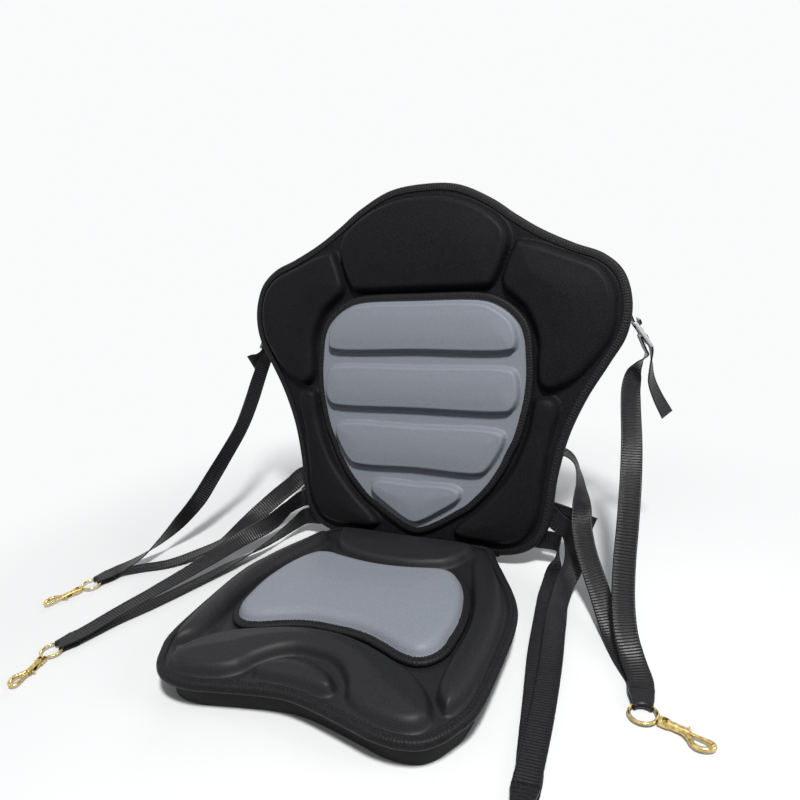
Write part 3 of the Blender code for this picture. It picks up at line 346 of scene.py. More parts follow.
def cloth_material(name, dark, light, specular, sheen, strength):
    """Woven cloth: two crossed sets of yarns, with soft mottling."""
    made, nodes, links, shader = shader_of(name)
    place = nodes.new("ShaderNodeTexCoord").outputs["Object"]
    warp = band(nodes, links, place, "X", WEAVE_PERIOD)
    weft = band(nodes, links, place, "Y", WEAVE_PERIOD)
    weave = math_node(nodes, links, "MULTIPLY", warp, weft)
    mottle = noise(nodes, links, place, 1.3 * MM, 6.0)
    mixed = math_node(nodes, links, "ADD", math_node(nodes, links, "MULTIPLY", weave, 0.2),
                      math_node(nodes, links, "MULTIPLY", mottle, 0.85))
    links.new(colour_ramp(nodes, links, mixed, dark, light), shader.inputs["Base Color"])
    shader.inputs["Roughness"].default_value = 0.52
    shader.inputs["Specular IOR Level"].default_value = specular
    shader.inputs["Sheen Weight"].default_value = sheen
    shader.inputs["Sheen Roughness"].default_value = 0.4
    bump(nodes, links, shader, mixed, 0.25 * MM, strength)
    return made


def thread_material(name, dark, light, specular, roughness, fleck):
    """Spun webbing and tape, whose ribs are in the mesh: fine flecks along the yarns."""
    made, nodes, links, shader = shader_of(name)
    place = nodes.new("ShaderNodeTexCoord").outputs["Object"]
    grain = noise(nodes, links, place, fleck, 4.0)
    links.new(colour_ramp(nodes, links, grain, dark, light), shader.inputs["Base Color"])
    shader.inputs["Roughness"].default_value = roughness
    shader.inputs["Specular IOR Level"].default_value = specular
    bump(nodes, links, shader, grain, 0.15 * MM, 0.5)
    return made


def foam_material(name):
    """Closed cell foam with a moulded skin."""
    made, nodes, links, shader = shader_of(name)
    place = nodes.new("ShaderNodeTexCoord").outputs["Object"]
    cells = noise(nodes, links, place, 1.2 * MM, 5.0)
    links.new(colour_ramp(nodes, links, cells, (0.005, 0.005, 0.0055), (0.011, 0.011, 0.012)),
              shader.inputs["Base Color"])
    shader.inputs["Roughness"].default_value = 0.6
    shader.inputs["Specular IOR Level"].default_value = 0.2
    bump(nodes, links, shader, cells, 0.2 * MM, 0.5)
    return made


def plastic_material(name):
    made, nodes, links, shader = shader_of(name)
    place = nodes.new("ShaderNodeTexCoord").outputs["Object"]
    grain = noise(nodes, links, place, 0.8 * MM)
    links.new(colour_ramp(nodes, links, grain, (0.36, 0.375, 0.39), (0.46, 0.47, 0.485)),
              shader.inputs["Base Color"])
    shader.inputs["Roughness"].default_value = 0.38
    bump(nodes, links, shader, grain, 0.05 * MM, 0.4)
    return made


def brass_material(name):
    """Polished cast brass, its colour and polish varying in soft random clouds."""
    made, nodes, links, shader = shader_of(name)
    place = nodes.new("ShaderNodeTexCoord").outputs["Object"]
    cloud = noise(nodes, links, place, 3 * MM)
    links.new(colour_ramp(nodes, links, cloud, (0.40, 0.28, 0.08), (0.78, 0.61, 0.28)),
              shader.inputs["Base Color"])
    shader.inputs["Metallic"].default_value = 1.0
    rough = nodes.new("ShaderNodeMapRange")
    rough.inputs["To Min"].default_value = 0.12
    rough.inputs["To Max"].default_value = 0.24
    links.new(cloud, rough.inputs["Value"])
    links.new(rough.outputs["Result"], shader.inputs["Roughness"])
    bump(nodes, links, shader, cloud, 0.05 * MM, 0.15)
    return made


def make_materials():
    made = {name: cloth_material(name, *looks) for name, looks in CLOTHS.items()}
    made.update((name, thread_material(name, *looks)) for name, looks in THREADS.items())
    for name, make in (("black_foam", foam_material), ("pale_plastic", plastic_material),
                       ("brass", brass_material)):
        made[name] = make(name)
    return made


# Smooth curves through the outlines and routes

def dense_curve(points, closed, per):
    """Points on a centripetal Catmull-Rom spline, per of them for each span."""
    points = np.asarray(points, float)
    if closed:
        corners = [np.roll(points, k, axis=0) for k in (1, 0, -1, -2)]
    else:
        ends = np.vstack([2 * points[0] - points[1], points, 2 * points[-1] - points[-2]])
        corners = [ends[k:len(ends) - 3 + k] for k in range(4)]
    p0, p1, p2, p3 = (corner[:, None, :] for corner in corners)
    k1 = np.sqrt(np.linalg.norm(p1 - p0, axis=2, keepdims=True))
    k2 = k1 + np.sqrt(np.linalg.norm(p2 - p1, axis=2, keepdims=True))
    k3 = k2 + np.sqrt(np.linalg.norm(p3 - p2, axis=2, keepdims=True))
    k = k1 + (k2 - k1) * (np.arange(per) / per)[None, :, None]
    a = p0 + (p1 - p0) * k / k1
    b = p1 + (p2 - p1) * (k - k1) / (k2 - k1)
    c = p2 + (p3 - p2) * (k - k2) / (k3 - k2)
    ab = a + (b - a) * k / k2
    bc = b + (c - b) * (k - k1) / (k3 - k1)
    curve = (ab + (bc - ab) * (k - k1) / (k2 - k1)).reshape(-1, points.shape[1])
    return curve if closed else np.vstack([curve, points[-1]])


def even_steps(curve, values, step, closed):
    """The curve, and values that go with its points, at even steps along it."""
    if closed:
        curve = np.vstack([curve, curve[:1]])
        values = np.vstack([values, values[:1]])
    along = np.concatenate([[0], np.cumsum(np.linalg.norm(np.diff(curve, axis=0), axis=1))])
    count = max(2, RIB_STEPS * round(along[-1] / step / RIB_STEPS))
    targets = np.linspace(0, along[-1], count, endpoint=not closed)
    spread = [np.column_stack([np.interp(targets, along, column) for column in data.T])
              for data in (curve, values)]
    return spread[0], spread[1], along[-1]


def mm_loop(points, step, side=1):
    """A closed outline in millimetres, side -1 mirrored, as a smooth loop in metres."""
    curve = dense_curve(np.array(points) * (side * MM, MM), True, 40)
    return even_steps(curve, curve, step, True)[0]


def mirrored(points):
    """The closed outline of a half that starts and ends on the centre line."""
    return list(points) + [(-x, y) for x, y in reversed(points[1:-1])]


def inset(loop, amount):
    """A loop moved inwards."""
    way = np.roll(loop, -1, axis=0) - np.roll(loop, 1, axis=0)
    normal = np.column_stack([-way[:, 1], way[:, 0]])
    normal /= np.linalg.norm(normal, axis=1, keepdims=True)
    after = np.roll(loop, -1, axis=0)
    area = np.sum(loop[:, 0] * after[:, 1] - after[:, 0] * loop[:, 1])
    return loop + normal * amount * np.sign(area)


def depth_inside(loop, x, y):
    """How deep each point lies inside a loop; negative outside."""
    near = np.full(x.shape, 1e9)
    inside = np.zeros(x.shape, bool)
    for (ax, ay), (bx, by) in zip(loop, np.roll(loop, -1, axis=0)):
        dx, dy = bx - ax, by - ay
        share = np.clip(((x - ax) * dx + (y - ay) * dy) / (dx * dx + dy * dy), 0, 1)
        near = np.minimum(near, (x - ax - share * dx) ** 2 + (y - ay - share * dy) ** 2)
        crosses = (ay > y) != (by > y)
        inside ^= crosses & (x < ax + (y - ay) * dx / (dy if dy else 1e-12))
    return np.where(inside, 1, -1) * np.sqrt(near)


# Meshes

def add_piece(name, mesh, finish, matrix=None, body="root", node=None):
    obj = bpy.data.objects.new(name, mesh)
    bpy.context.scene.collection.objects.link(obj)
    if matrix is not None:
        obj.matrix_world = matrix
    mesh.materials.clear()
    mesh.materials.append(MATERIALS[finish])
    bpy.context.view_layer.update()
    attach(obj, body)
    if node:
        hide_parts(node)
    return obj


def mesh_of(name, verts, faces, sharp=50):
    mesh = bpy.data.meshes.new(name)
    mesh.from_pydata([tuple(point) for point in verts], [], [tuple(face) for face in faces])
    mesh.update()
    mesh.shade_smooth()
    mesh.set_sharp_from_angle(angle=math.radians(sharp))
    return mesh


def mesh_from(shape, name):
    """The mesh of a bmesh, which is freed."""
    mesh = bpy.data.meshes.new(name)
    shape.to_mesh(mesh)
    shape.free()
    return mesh


def swept(name, grid, closed, sharp=50):
    """A closed mesh from rows of section points; the rows join up in a ring if closed, else are capped."""
    rows, columns = grid.shape[:2]
    row = np.arange(rows if closed else rows - 1)[:, None]
    column = np.arange(columns)[None, :]
    after, beside = (row + 1) % rows, (column + 1) % columns
    faces = np.stack([row * columns + column, row * columns + beside, after * columns + beside,
                      after * columns + column], axis=-1).reshape(-1, 4).tolist()
    if not closed:
        faces.append(list(range(columns))[::-1])
        faces.append([(rows - 1) * columns + k for k in range(columns)])
    mesh = mesh_of(name, grid.reshape(-1, 3), faces, sharp)
    shape = bmesh.new()
    shape.from_mesh(mesh)
    bmesh.ops.recalc_face_normals(shape, faces=shape.faces)
    shape.to_mesh(mesh)
    shape.free()
    return mesh


def softened(height):
    """The height map softened by one pass of a small kernel."""
    for axis in (0, 1):
        before = np.roll(height, 1, axis=axis)
        after = np.roll(height, -1, axis=axis)
        height = 0.5 * height + 0.25 * (before + after)
    return height


def pad_height(depth, rise, edge, crown, reach):
    """A moulded pad over its depth inside its outline: round shoulder, then a slow crown."""
    share = np.clip(depth / edge, 0, 1)
    shoulder = np.sqrt(1 - (1 - share) ** 2)
    swell = 1 - np.exp(-(np.clip(depth, 0, None) / reach) ** 2)
    return (rise - crown) * shoulder + crown * swell


def moulded(outline, form, side=1):
    """A pad for relief: its loop and its pad_height sizes."""
    return mm_loop(outline, OUTLINE_STEP, side), *(size * MM for size in form)


def relief(name, loop, floor, under, pads, grid, finish, matrix, node):
    """A moulded sheet: a height map over an outline, closed underneath, with pads as moulded() gives."""
    low, high = loop.min(axis=0), loop.max(axis=0)
    columns = np.arange(low[0], high[0] + grid, grid)
    rows = np.arange(low[1], high[1] + grid, grid)
    x, y = np.meshgrid(columns, rows, indexing="ij")
    height = np.zeros(x.shape)
    for pad_loop, rise, edge, crown, reach in pads:
        height = np.maximum(height, pad_height(depth_inside(pad_loop, x, y), rise, edge, crown, reach))
    height = softened(height)
    within = depth_inside(loop, x, y) > SHEET_MARGIN
    whole = within[:-1, :-1] & within[1:, :-1] & within[:-1, 1:] & within[1:, 1:]
    used = np.zeros(x.shape, bool)
    for di in (0, 1):
        for dj in (0, 1):
            used[di:x.shape[0] - 1 + di, dj:x.shape[1] - 1 + dj] |= whole
    index = np.full(x.shape, -1)
    index[used] = np.arange(used.sum())
    verts = np.column_stack([x[used], y[used], floor + height[used]])
    i, j = np.nonzero(whole)
    faces = np.column_stack([index[i, j], index[i + 1, j], index[i + 1, j + 1], index[i, j + 1]])
    mesh = bpy.data.meshes.new(name)
    mesh.from_pydata(verts.tolist(), [], faces.tolist())
    shape = bmesh.new()
    shape.from_mesh(mesh)
    rim = [line for line in shape.edges if line.is_boundary]
    grown = bmesh.ops.extrude_edge_only(shape, edges=rim)["geom"]
    for vert in (part for part in grown if isinstance(part, bmesh.types.BMVert)):
        vert.co.z = under
    bottom = [part for part in grown if isinstance(part, bmesh.types.BMEdge) and part.is_boundary]
    bmesh.ops.edgeloop_fill(shape, edges=bottom)
    bmesh.ops.recalc_face_normals(shape, faces=shape.faces)
    shape.to_mesh(mesh)
    shape.free()
    mesh.shade_smooth()
    mesh.set_sharp_from_angle(angle=math.radians(75))
    return add_piece(name, mesh, finish, matrix, node=node)


def tape_ring(name, loop, middle, half, width, matrix, node):
    """Ribbed tape folded round an edge, with its line of stitches."""
    nose = 3.0 * MM
    outer = [(width, half)]
    for k in range(9):
        turn = math.pi * (0.5 - k / 8)
        outer.append((nose * (1 - math.cos(turn)), half * math.sin(turn)))
    outer.append((width, -half))
    inner = [(width, -half + TAPE), (nose, -half + TAPE), (TAPE, -half / 2), (TAPE, half / 2),
             (nose, half - TAPE), (width, half - TAPE)]
    section = outer + inner
    rib = np.where(np.arange(len(loop)) % RIB_STEPS < RIB_STEPS / 2, 0.0, TAPE_RIB)
    columns = []
    for k, (depth, height) in enumerate(section):
        edge = inset(loop, depth)
        lift = rib * np.sign(height) if k < len(outer) and abs(height) > 0.6 * half else 0 * rib
        columns.append(np.column_stack([edge, middle + height - lift]))
    grid = np.stack(columns, axis=1)
    add_piece(name, swept(name, grid, True), "black_tape", matrix, node=node)
    stitch_line(name + "_stitches", inset(loop, width - 2.2 * MM), middle + half, matrix)


def stitch_line(name, loop, height, matrix):
    """A run of short threads lying on a surface, along a closed line."""
    length, gap, thick = 2.6 * MM, 1.5 * MM, 0.34 * MM
    along = np.concatenate([[0], np.cumsum(np.linalg.norm(np.diff(loop, axis=0), axis=1))])
    count = int(along[-1] / (length + gap))
    shape = bmesh.new()
    for k in range(count):
        start, end = (k * (length + gap), k * (length + gap) + length)
        points = [Vector((np.interp(at, along, loop[:, 0]), np.interp(at, along, loop[:, 1]), height))
                  for at in (start, end)]
        way = points[1] - points[0]
        turn = way.to_track_quat("Z", "Y").to_matrix().to_4x4()
        bmesh.ops.create_cone(shape, cap_ends=True, segments=6, radius1=thick, radius2=thick,
                              depth=way.length, matrix=Matrix.Translation((points[0] + points[1]) / 2) @ turn)
    mesh = mesh_from(shape, name)
    mesh.shade_smooth()
    add_piece(name, mesh, "stitching", matrix)


# Cushions

def backrest():
    edge = mm_loop(mirrored(BACK_EDGE), TAPE_STEP)
    top = GAP / 2 + SHEET
    coarse = mm_loop(mirrored(BACK_EDGE), SHEET_STEP)
    pads = [moulded(mirrored(HEAD_PAD), HEAD_FORM)]
    for side in (-1, 1):
        pads.append(moulded(SHOULDER_PAD, SHOULDER_FORM, side))
        pads.append(moulded(LUMBAR_PAD, LUMBAR_FORM, side))
    front = relief("backrest_front_cloth", coarse, top, GAP / 2, pads, PANEL_GRID, "black_cloth",
                   BACK, "backrest_front_panel")
    turned = BACK @ Matrix.Rotation(math.pi, 4, "Y")
    rear = relief("backrest_rear_cloth", coarse, top, GAP / 2, [], REAR_GRID, "black_cloth", turned,
                  "backrest_rear_panel")
    tape_ring("backrest_edge_tape", edge, 0, top + GAP + TAPE, TAPE_WIDTH, BACK, "backrest_binding")


def stacked(name, outline, base, pads, matrix, node, tape_name, tape_node):
    low = base + 2 * GAP + TAPE
    high = low + SHEET
    outer = inset(mm_loop(mirrored(outline), TAPE_STEP), SHIELD_LIP - SHIELD_TAPE_WIDTH)
    coarse = inset(mm_loop(mirrored(outline), OUTLINE_STEP), SHIELD_LIP - SHIELD_TAPE_WIDTH)
    panel = relief(name, coarse, high, low, pads, SMALL_GRID, "grey_cloth", matrix, node)
    tape_ring(tape_name, outer, (low + high) / 2, SHEET / 2 + GAP + TAPE, SHIELD_TAPE_WIDTH, matrix,
              tape_node)


def shield():
    ribs = [moulded(mirrored(rib), RIB_FORM) for rib in RIBS]
    stacked("backrest_grey_cloth", SHIELD, GAP / 2 + SHEET, ribs, BACK, "backrest_grey_panel",
            "grey_panel_tape", "grey_panel_binding")


def seat():
    edge = mm_loop(mirrored(SEAT_EDGE), TAPE_STEP)
    coarse = mm_loop(mirrored(SEAT_EDGE), SHEET_STEP)
    half = SEAT_SHEET / 2
    pads = [moulded(mirrored(REAR_PAD), REAR_FORM), moulded(mirrored(FRONT_ARCH), ARCH_FORM),
            moulded(mirrored(POMMEL), POMMEL_FORM)]
    for side in (-1, 1):
        pads.append(moulded(ROLL, ROLL_FORM, side))
    # The seat's top uses the lighter copy of the black cloth, which is painted light.
    top = relief("seat_top_cloth", coarse, half, -half, pads, PANEL_GRID, "seat_black_cloth_lit", SEAT,
                 "seat_top_panel")
    tape_ring("seat_edge_tape", edge, 0, half + GAP + TAPE, TAPE_WIDTH, SEAT, "seat_binding")


def saddle():
    loop, *form = moulded(mirrored(SADDLE), SADDLE_FORM)
    crown = [(inset(loop, 1.0 * MM), *form)]
    stacked("seat_saddle_cloth", SADDLE, SEAT_SHEET / 2, crown, SEAT, "seat_saddle_pad", "saddle_tape",
            "saddle_binding")


def base_foam():
    """The thick foam slab under the seat, its rims eased and its wall a little hollow."""
    outline = inset(mm_loop(mirrored(SEAT_EDGE), 2 * MM), FOAM_INSET)
    low, high = -SEAT_HEIGHT, -SEAT_SHEET / 2 - GAP
    section = [(6 * MM, low), (1.6 * MM, low), (0.5 * MM, low + 0.5 * MM), (0, low + 1.8 * MM),
               (0.6 * MM, (low + high) / 2), (0, high - 1.5 * MM), (0.6 * MM, high - 0.4 * MM),
               (6 * MM, high)]
    rings = [np.column_stack([inset(outline, depth), np.full(len(outline), height)])
             for depth, height in section]
    mesh = swept("seat_base_block", np.stack(rings, axis=0), False)
    block = add_piece("seat_base_block", mesh, "black_foam", SEAT, node="seat_base_foam")


# Webbing

def buckle_matrix(name):
    """The buckle's frame: x from tab to strap, y across, z its face."""
    centre, way, across = BUCKLES[name]
    x_axis = Vector(way).normalized()
    y_axis = Vector(across)
    y_axis = (y_axis - x_axis * y_axis.dot(x_axis)).normalized()
    turn = Matrix((x_axis, y_axis, x_axis.cross(y_axis))).transposed().to_4x4()
    return Matrix.Translation(Vector(centre) * MM) @ turn


def buckle_place(place, x, z):
    across = place.to_3x3() @ Vector((0, 1, 0))
    return place @ Vector((x, 0, z)), across


def wrap(place, bar_low, bar_high, far):
    """Route folded round a bar of the buckle: along its face, over its far side and along its back."""
    off = GAP + WEB / 2
    deep = BUCKLE_THICK / 2
    arc = off * math.sqrt(0.5)
    corner, stay = (bar_low, bar_high) if far < 0 else (bar_high, bar_low)
    local = [(stay, deep + off), (corner, deep + off), (corner + far * arc, deep + arc),
             (corner + far * off, deep), (corner + far * off, -deep), (corner + far * arc, -deep - arc),
             (corner, -deep - off), (stay, -deep - off)]
    return [buckle_place(place, x, z) for x, z in local]


def strap_route(points):
    return [(Vector(point[:3]) * MM, Vector(point[3:]).normalized()) for point in points]


def sewn_route(places):
    """Route that lies on the backrest's rear face, its webbing square to the run."""
    off = GAP / 2 + SHEET + GAP + TAPE + GAP + WEB / 2
    run = Vector(places[-1]) - Vector(places[0])
    across = BACK.to_3x3() @ Vector((-run.y, run.x, 0)).normalized()
    return [(BACK @ Vector((x * MM, height * MM, -off)), across) for x, height in places]


def match_ways(route):
    """The same route with each direction across on the same side as the one before it."""
    matched = [route[0]]
    for point, across in route[1:]:
        if across.dot(matched[-1][1]) < 0:
            across = -across
        matched.append((point, across))
    return matched


def hook_place(name):
    centre, way, web_way = HOOKS[name]
    place = Matrix.Translation(Vector((centre[0] * MM, centre[1] * MM, HOOK_HEIGHT)))
    turns = (math.atan2(at[1], at[0]) for at in (way, web_way))
    return [place @ Matrix.Rotation(turn, 4, "Z") for turn in turns]


def strap_start(place):
    level = BUCKLE_THICK / 2 + GAP + WEB / 2
    starts = (STRAP_BAR_X + BUCKLE_BAR + GAP, BUCKLE_LENGTH / 2 + WEB, BUCKLE_LENGTH / 2 + 4 * WEB)
    return [buckle_place(place, x, -level) for x in starts]


def strap_end(hook_name, level):
    matrix = hook_place(hook_name)[1]
    shift = level * (RING_WIRE / 2 + GAP + WEB / 2)
    across = matrix.to_3x3() @ Vector((0, 1, 0))
    end = -RING_RADIUS - LOOP_LEG - GAP
    return [(matrix @ Vector((x, 0, shift)), across) for x in (end - WEB_WIDTH / 2, end)]


def web_section():
    """Half width and half thickness of the webbing, edges a little thicker and rounded."""
    w, t = WEB_WIDTH / 2, WEB / 2
    top = [(-w, 0), (-w + 0.3 * MM, 0.7 * t), (-w + 0.9 * MM, t), (-w + 1.8 * MM, 0.8 * t),
           (-w / 3, 0.85 * t), (w / 3, 0.85 * t), (w - 1.8 * MM, 0.8 * t), (w - 0.9 * MM, t),
           (w - 0.3 * MM, 0.7 * t), (w, 0)]
    return np.array(top + [(u, -v) for u, v in reversed(top[1:-1])])


def webbing(name, route, node):
    """A ribbed strap along a route. Returns the piece, its centre line and its length."""
    route = match_ways(route)
    points = np.array([point for point, across in route])
    ways = np.array([across for point, across in route])
    per = 24
    curve = dense_curve(points, False, per)
    share = np.arange(len(curve)) / per
    blend = np.column_stack([np.interp(share, np.arange(len(ways)), column) for column in ways.T])
    line, across, length = even_steps(curve, blend, WEB_STEP, False)
    way = np.gradient(line, axis=0)
    way /= np.linalg.norm(way, axis=1, keepdims=True)
    side = across - way * np.sum(across * way, axis=1, keepdims=True)
    side /= np.linalg.norm(side, axis=1, keepdims=True)
    normal = np.cross(side, way)
    rib = np.where(np.arange(len(line)) % RIB_STEPS < RIB_STEPS / 2, *WEB_RIBS)
    section = web_section()
    flat = (np.abs(section[:, 0]) < WEB_WIDTH / 2 - MM)[None, :]
    rise = section[None, :, 1] * np.where(flat, rib[:, None], 1.0)
    grid = line[:, None] + side[:, None] * section[None, :, :1] + normal[:, None] * rise[:, :, None]
    piece = add_piece(name, swept(name, grid, False, 70), "black_webbing", node=node)
    return piece, line, length


def end_loop(name):
    """Webbing folded through the ring, bunched where it turns round the wire."""
    shift = RING_WIRE / 2 + GAP + WEB / 2
    across = np.linspace(-1, 1, 15)
    spread = LOOP_WAIST / RING_RADIUS
    leg_x = -RING_RADIUS - LOOP_LEG
    middle = []
    for level in (1, -1):
        legs = []
        for share in np.linspace(0, 1, 19)[:-1]:
            ease = share * share * (3 - 2 * share)
            turned = across * spread
            x = leg_x + (-RING_RADIUS * np.cos(turned) - leg_x) * share
            y = across * WEB_WIDTH / 2 * (1 - ease) + RING_RADIUS * np.sin(turned) * ease
            legs.append(np.column_stack([x, y, np.full(len(across), level * shift)]))
        middle.append(legs)
    fold = []
    for k in range(17):
        tilt = math.pi * (0.5 + k / 16)
        out = np.column_stack([-np.cos(across * spread), np.sin(across * spread), 0 * across])
        fold.append(out * (RING_RADIUS + shift * math.cos(tilt)) + np.array([0, 0, shift * math.sin(tilt)]))
    rows = np.array(middle[0] + fold + middle[1][::-1])
    along = np.gradient(rows, axis=0)
    beside = np.gradient(rows, axis=1)
    normal = np.cross(along, beside)
    normal /= np.linalg.norm(normal, axis=2, keepdims=True)
    rib = np.where(np.arange(len(rows)) % RIB_STEPS < RIB_STEPS / 2, 0.9, 1.05)[:, None, None] * WEB / 2
    upper, lower = rows + normal * rib, rows - normal * rib
    grid = np.concatenate([upper, lower[:, ::-1]], axis=1)
    fold_piece = add_piece(name + "_end_webbing", swept(name + "_end_webbing", grid, False, 70),
                           "black_webbing", hook_place(name)[1], node=name + "_webbing_loop")
    HOOK_PIECES[name].append(fold_piece)


def buckle(name):
    """A moulded ladder buckle, bowed a little like an S along its length."""
    half = Vector((BUCKLE_LENGTH / 2, WEB_WIDTH / 2 + GAP * 2 + BUCKLE_RIM, BUCKLE_THICK / 2))
    body = solid_box(-half, half)
    cutters = []
    for start in (TAB_SLOT_X, STRAP_SLOT_X):
        low = Vector((start, -WEB_WIDTH / 2 - 2 * GAP, -BUCKLE_THICK))
        high = Vector((start + BUCKLE_SLOT, WEB_WIDTH / 2 + 2 * GAP, BUCKLE_THICK))
        cutters.append(("DIFFERENCE", solid_box(low, high)))
    mesh = combined(name + "_ladder_buckle", body, cutters, rounding=1.0 * MM)
    for vert in mesh.vertices:
        past = max(0.0, abs(vert.co.x) - (STRAP_BAR_X + BUCKLE_BAR)) * (1 if vert.co.x > 0 else -1)
        vert.co.z += 0.35 * past
    add_piece(name + "_ladder_buckle", mesh, "pale_plastic", buckle_matrix(name), node=name + "_buckle")


def straps():
    """All webbing: tabs, tails and the free straps."""
    level = BUCKLE_THICK / 2 + GAP + WEB / 2
    for name in BUCKLES:
        place = buckle_matrix(name)
        buckle(name)
        fold = wrap(place, -BUCKLE_LENGTH / 2, TAB_SLOT_X, 1)[::-1]
        approach = [buckle_place(place, -BUCKLE_LENGTH / 2 - turns * WEB, -level) for turns in (5, 2)]
        sewn = sewn_route(TABS[name]) + strap_route(TAB_TWISTS[name])
        webbing(name + "_tab_webbing", sewn + approach + fold, name + "_tab")
        fold = wrap(place, STRAP_BAR_X, STRAP_BAR_X + BUCKLE_BAR, -1)
        beyond = buckle_place(place, BUCKLE_LENGTH / 2 + 2 * WEB, level)
        loose = match_ways([beyond] + strap_route(TAILS[name]))
        webbing(name + "_tail_webbing", loose[::-1] + fold, name + "_tail")[0]
    adjusted = {"left_upper": ("left_shoulder", LEFT_UPPER, "hook_1"),
                "left_lower": ("left_waist", LEFT_LOWER, "hook_2"),
                "right_upper": ("right_shoulder", RIGHT_UPPER, "hook_3"),
                "right_lower": ("right_waist", RIGHT_LOWER, "hook_4")}
    returns = {"left_upper": LEFT_UPPER_RETURN, "left_lower": LEFT_LOWER_RETURN,
               "right_upper": RIGHT_UPPER_RETURN, "right_lower": RIGHT_LOWER_RETURN}
    for name, (buckle_name, points, hook_name) in adjusted.items():
        route = strap_start(buckle_matrix(buckle_name)) + strap_route(points) + strap_end(hook_name, 1)
        piece, line, length = webbing(name + "_webbing", route, name + "_strap")
        route = sewn_route(ANCHORS[name + "_return"]) + strap_route(returns[name]) + strap_end(hook_name, -1)
        piece, line, length = webbing(name + "_return_webbing", route, name + "_return_strap")


def fold_cloth():
    """Cloth hinge from the backrest's rear face, under its foot, to the seat's underside."""
    off = FOLD_CLOTH / 2 + GAP
    back_face = GAP / 2 + SHEET + GAP + TAPE + off
    seat_under = SEAT_HEIGHT - SEAT_SHEET / 2 - GAP - TAPE - off
    rear = SEAT_REAR_Y - SEAT_EDGE[0][1] * MM
    corners = [BACK @ Vector((0, FOLD_LAP, -back_face)), BACK @ Vector((0, 0, -back_face)),
               BACK @ Vector((0, -off, -back_face + off)), BACK @ Vector((0, -off, back_face - off)),
               Vector((0, rear + 3 * off, seat_under - 2 * off)), Vector((0, rear - off, seat_under)),
               Vector((0, rear - FOAM_INSET + off + GAP, seat_under))]
    curve = dense_curve(np.array(corners), False, 12)
    line, _, length = even_steps(curve, curve, 1.0 * MM, False)
    way = np.gradient(line, axis=0)
    way /= np.linalg.norm(way, axis=1, keepdims=True)
    normal = np.cross(np.array([[1.0, 0, 0]]), way)
    across = np.linspace(-0.5, 0.5, 97) * FOLD_WIDTH
    pucker = 0.12 * MM * np.sin(across / (3.1 * MM))
    sheets = []
    for side in (0.5, -0.5):
        offset = side * FOLD_CLOTH * 0.8 + pucker[None, :]
        sheet = (line[:, None] + normal[:, None] * offset[:, :, None]
                 + np.array([1.0, 0, 0]) * across[None, :, None])
        sheets.append(sheet)
    grid = np.concatenate([sheets[0], sheets[1][:, ::-1]], axis=1)
    piece = add_piece("fold_cloth", swept("fold_cloth", grid, False, 70), "black_cloth", node="fold_strip")


# Snap hooks

def solid_rod(start, end, width, sides=32):
    shape = bmesh.new()
    way = end - start
    turn = way.to_track_quat("Z", "Y").to_matrix().to_4x4()
    bmesh.ops.create_cone(shape, cap_ends=True, segments=sides, radius1=width / 2, radius2=width / 2,
                          depth=way.length, matrix=Matrix.Translation((start + end) / 2) @ turn)
    return mesh_from(shape, "rod")


def solid_box(low, high):
    shape = bmesh.new()
    size = high - low
    scale = Matrix.Diagonal((size.x, size.y, size.z, 1))
    bmesh.ops.create_cube(shape, size=1, matrix=Matrix.Translation((low + high) / 2) @ scale)
    return mesh_from(shape, "box")


def solid_tube(points, widths, sides=20):
    """A tube whose width changes along a smooth line in the plane z = 0."""
    curve = dense_curve(np.array(points), False, 8)
    width = np.interp(np.linspace(0, len(widths) - 1, len(curve)), np.arange(len(widths)), widths)
    way = np.gradient(curve, axis=0)
    way /= np.linalg.norm(way, axis=1, keepdims=True)
    side = np.column_stack([-way[:, 1], way[:, 0], 0 * width])
    turns = np.linspace(0, 2 * math.pi, sides, endpoint=False)
    grid = (curve[:, None] + side[:, None] * (np.cos(turns)[None, :, None] * width[:, None, None] / 2)
            + np.array([0, 0, 1.0]) * (np.sin(turns)[None, :, None] * width[:, None, None] / 2))
    return swept("tube", grid, False)


def solid_ring(radius, wire, around=72, sides=20):
    turns = np.linspace(0, 2 * math.pi, around, endpoint=False)
    bends = np.linspace(0, 2 * math.pi, sides, endpoint=False)
    reach = radius + wire / 2 * np.cos(bends)[None, :]
    grid = np.stack([reach * np.cos(turns)[:, None], reach * np.sin(turns)[:, None],
                     wire / 2 * np.sin(bends)[None, :] + 0 * reach * turns[:, None]], axis=-1)
    return swept("ring", grid, True)


def combined(name, base, steps, rounding=0.0):
    """One mesh from a base and a list of Boolean steps, its edges eased by a small bevel."""
    obj = bpy.data.objects.new(name + "_base", base)
    bpy.context.scene.collection.objects.link(obj)
    others = []
    for operation, mesh in steps:
        other = bpy.data.objects.new(name + "_step", mesh)
        bpy.context.scene.collection.objects.link(other)
        others.append(other)
        modifier = obj.modifiers.new("step", "BOOLEAN")
        modifier.operation = operation
        modifier.solver = "EXACT"
        modifier.object = other
    if rounding:
        bevel = obj.modifiers.new("rounding", "BEVEL")
        bevel.width = rounding
        bevel.segments = 3
        bevel.limit_method = "ANGLE"
        bevel.angle_limit = math.radians(50)
    depsgraph = bpy.context.evaluated_depsgraph_get()
    mesh = bpy.data.meshes.new_from_object(obj.evaluated_get(depsgraph))
    for made in [obj, *others]:
        bpy.data.objects.remove(made)
    mesh.name = name
    mesh.shade_smooth()
    mesh.set_sharp_from_angle(angle=math.radians(40))
    return mesh


def along_x(x, y=0.0, z=0.0):
    return Vector((x, y, z))


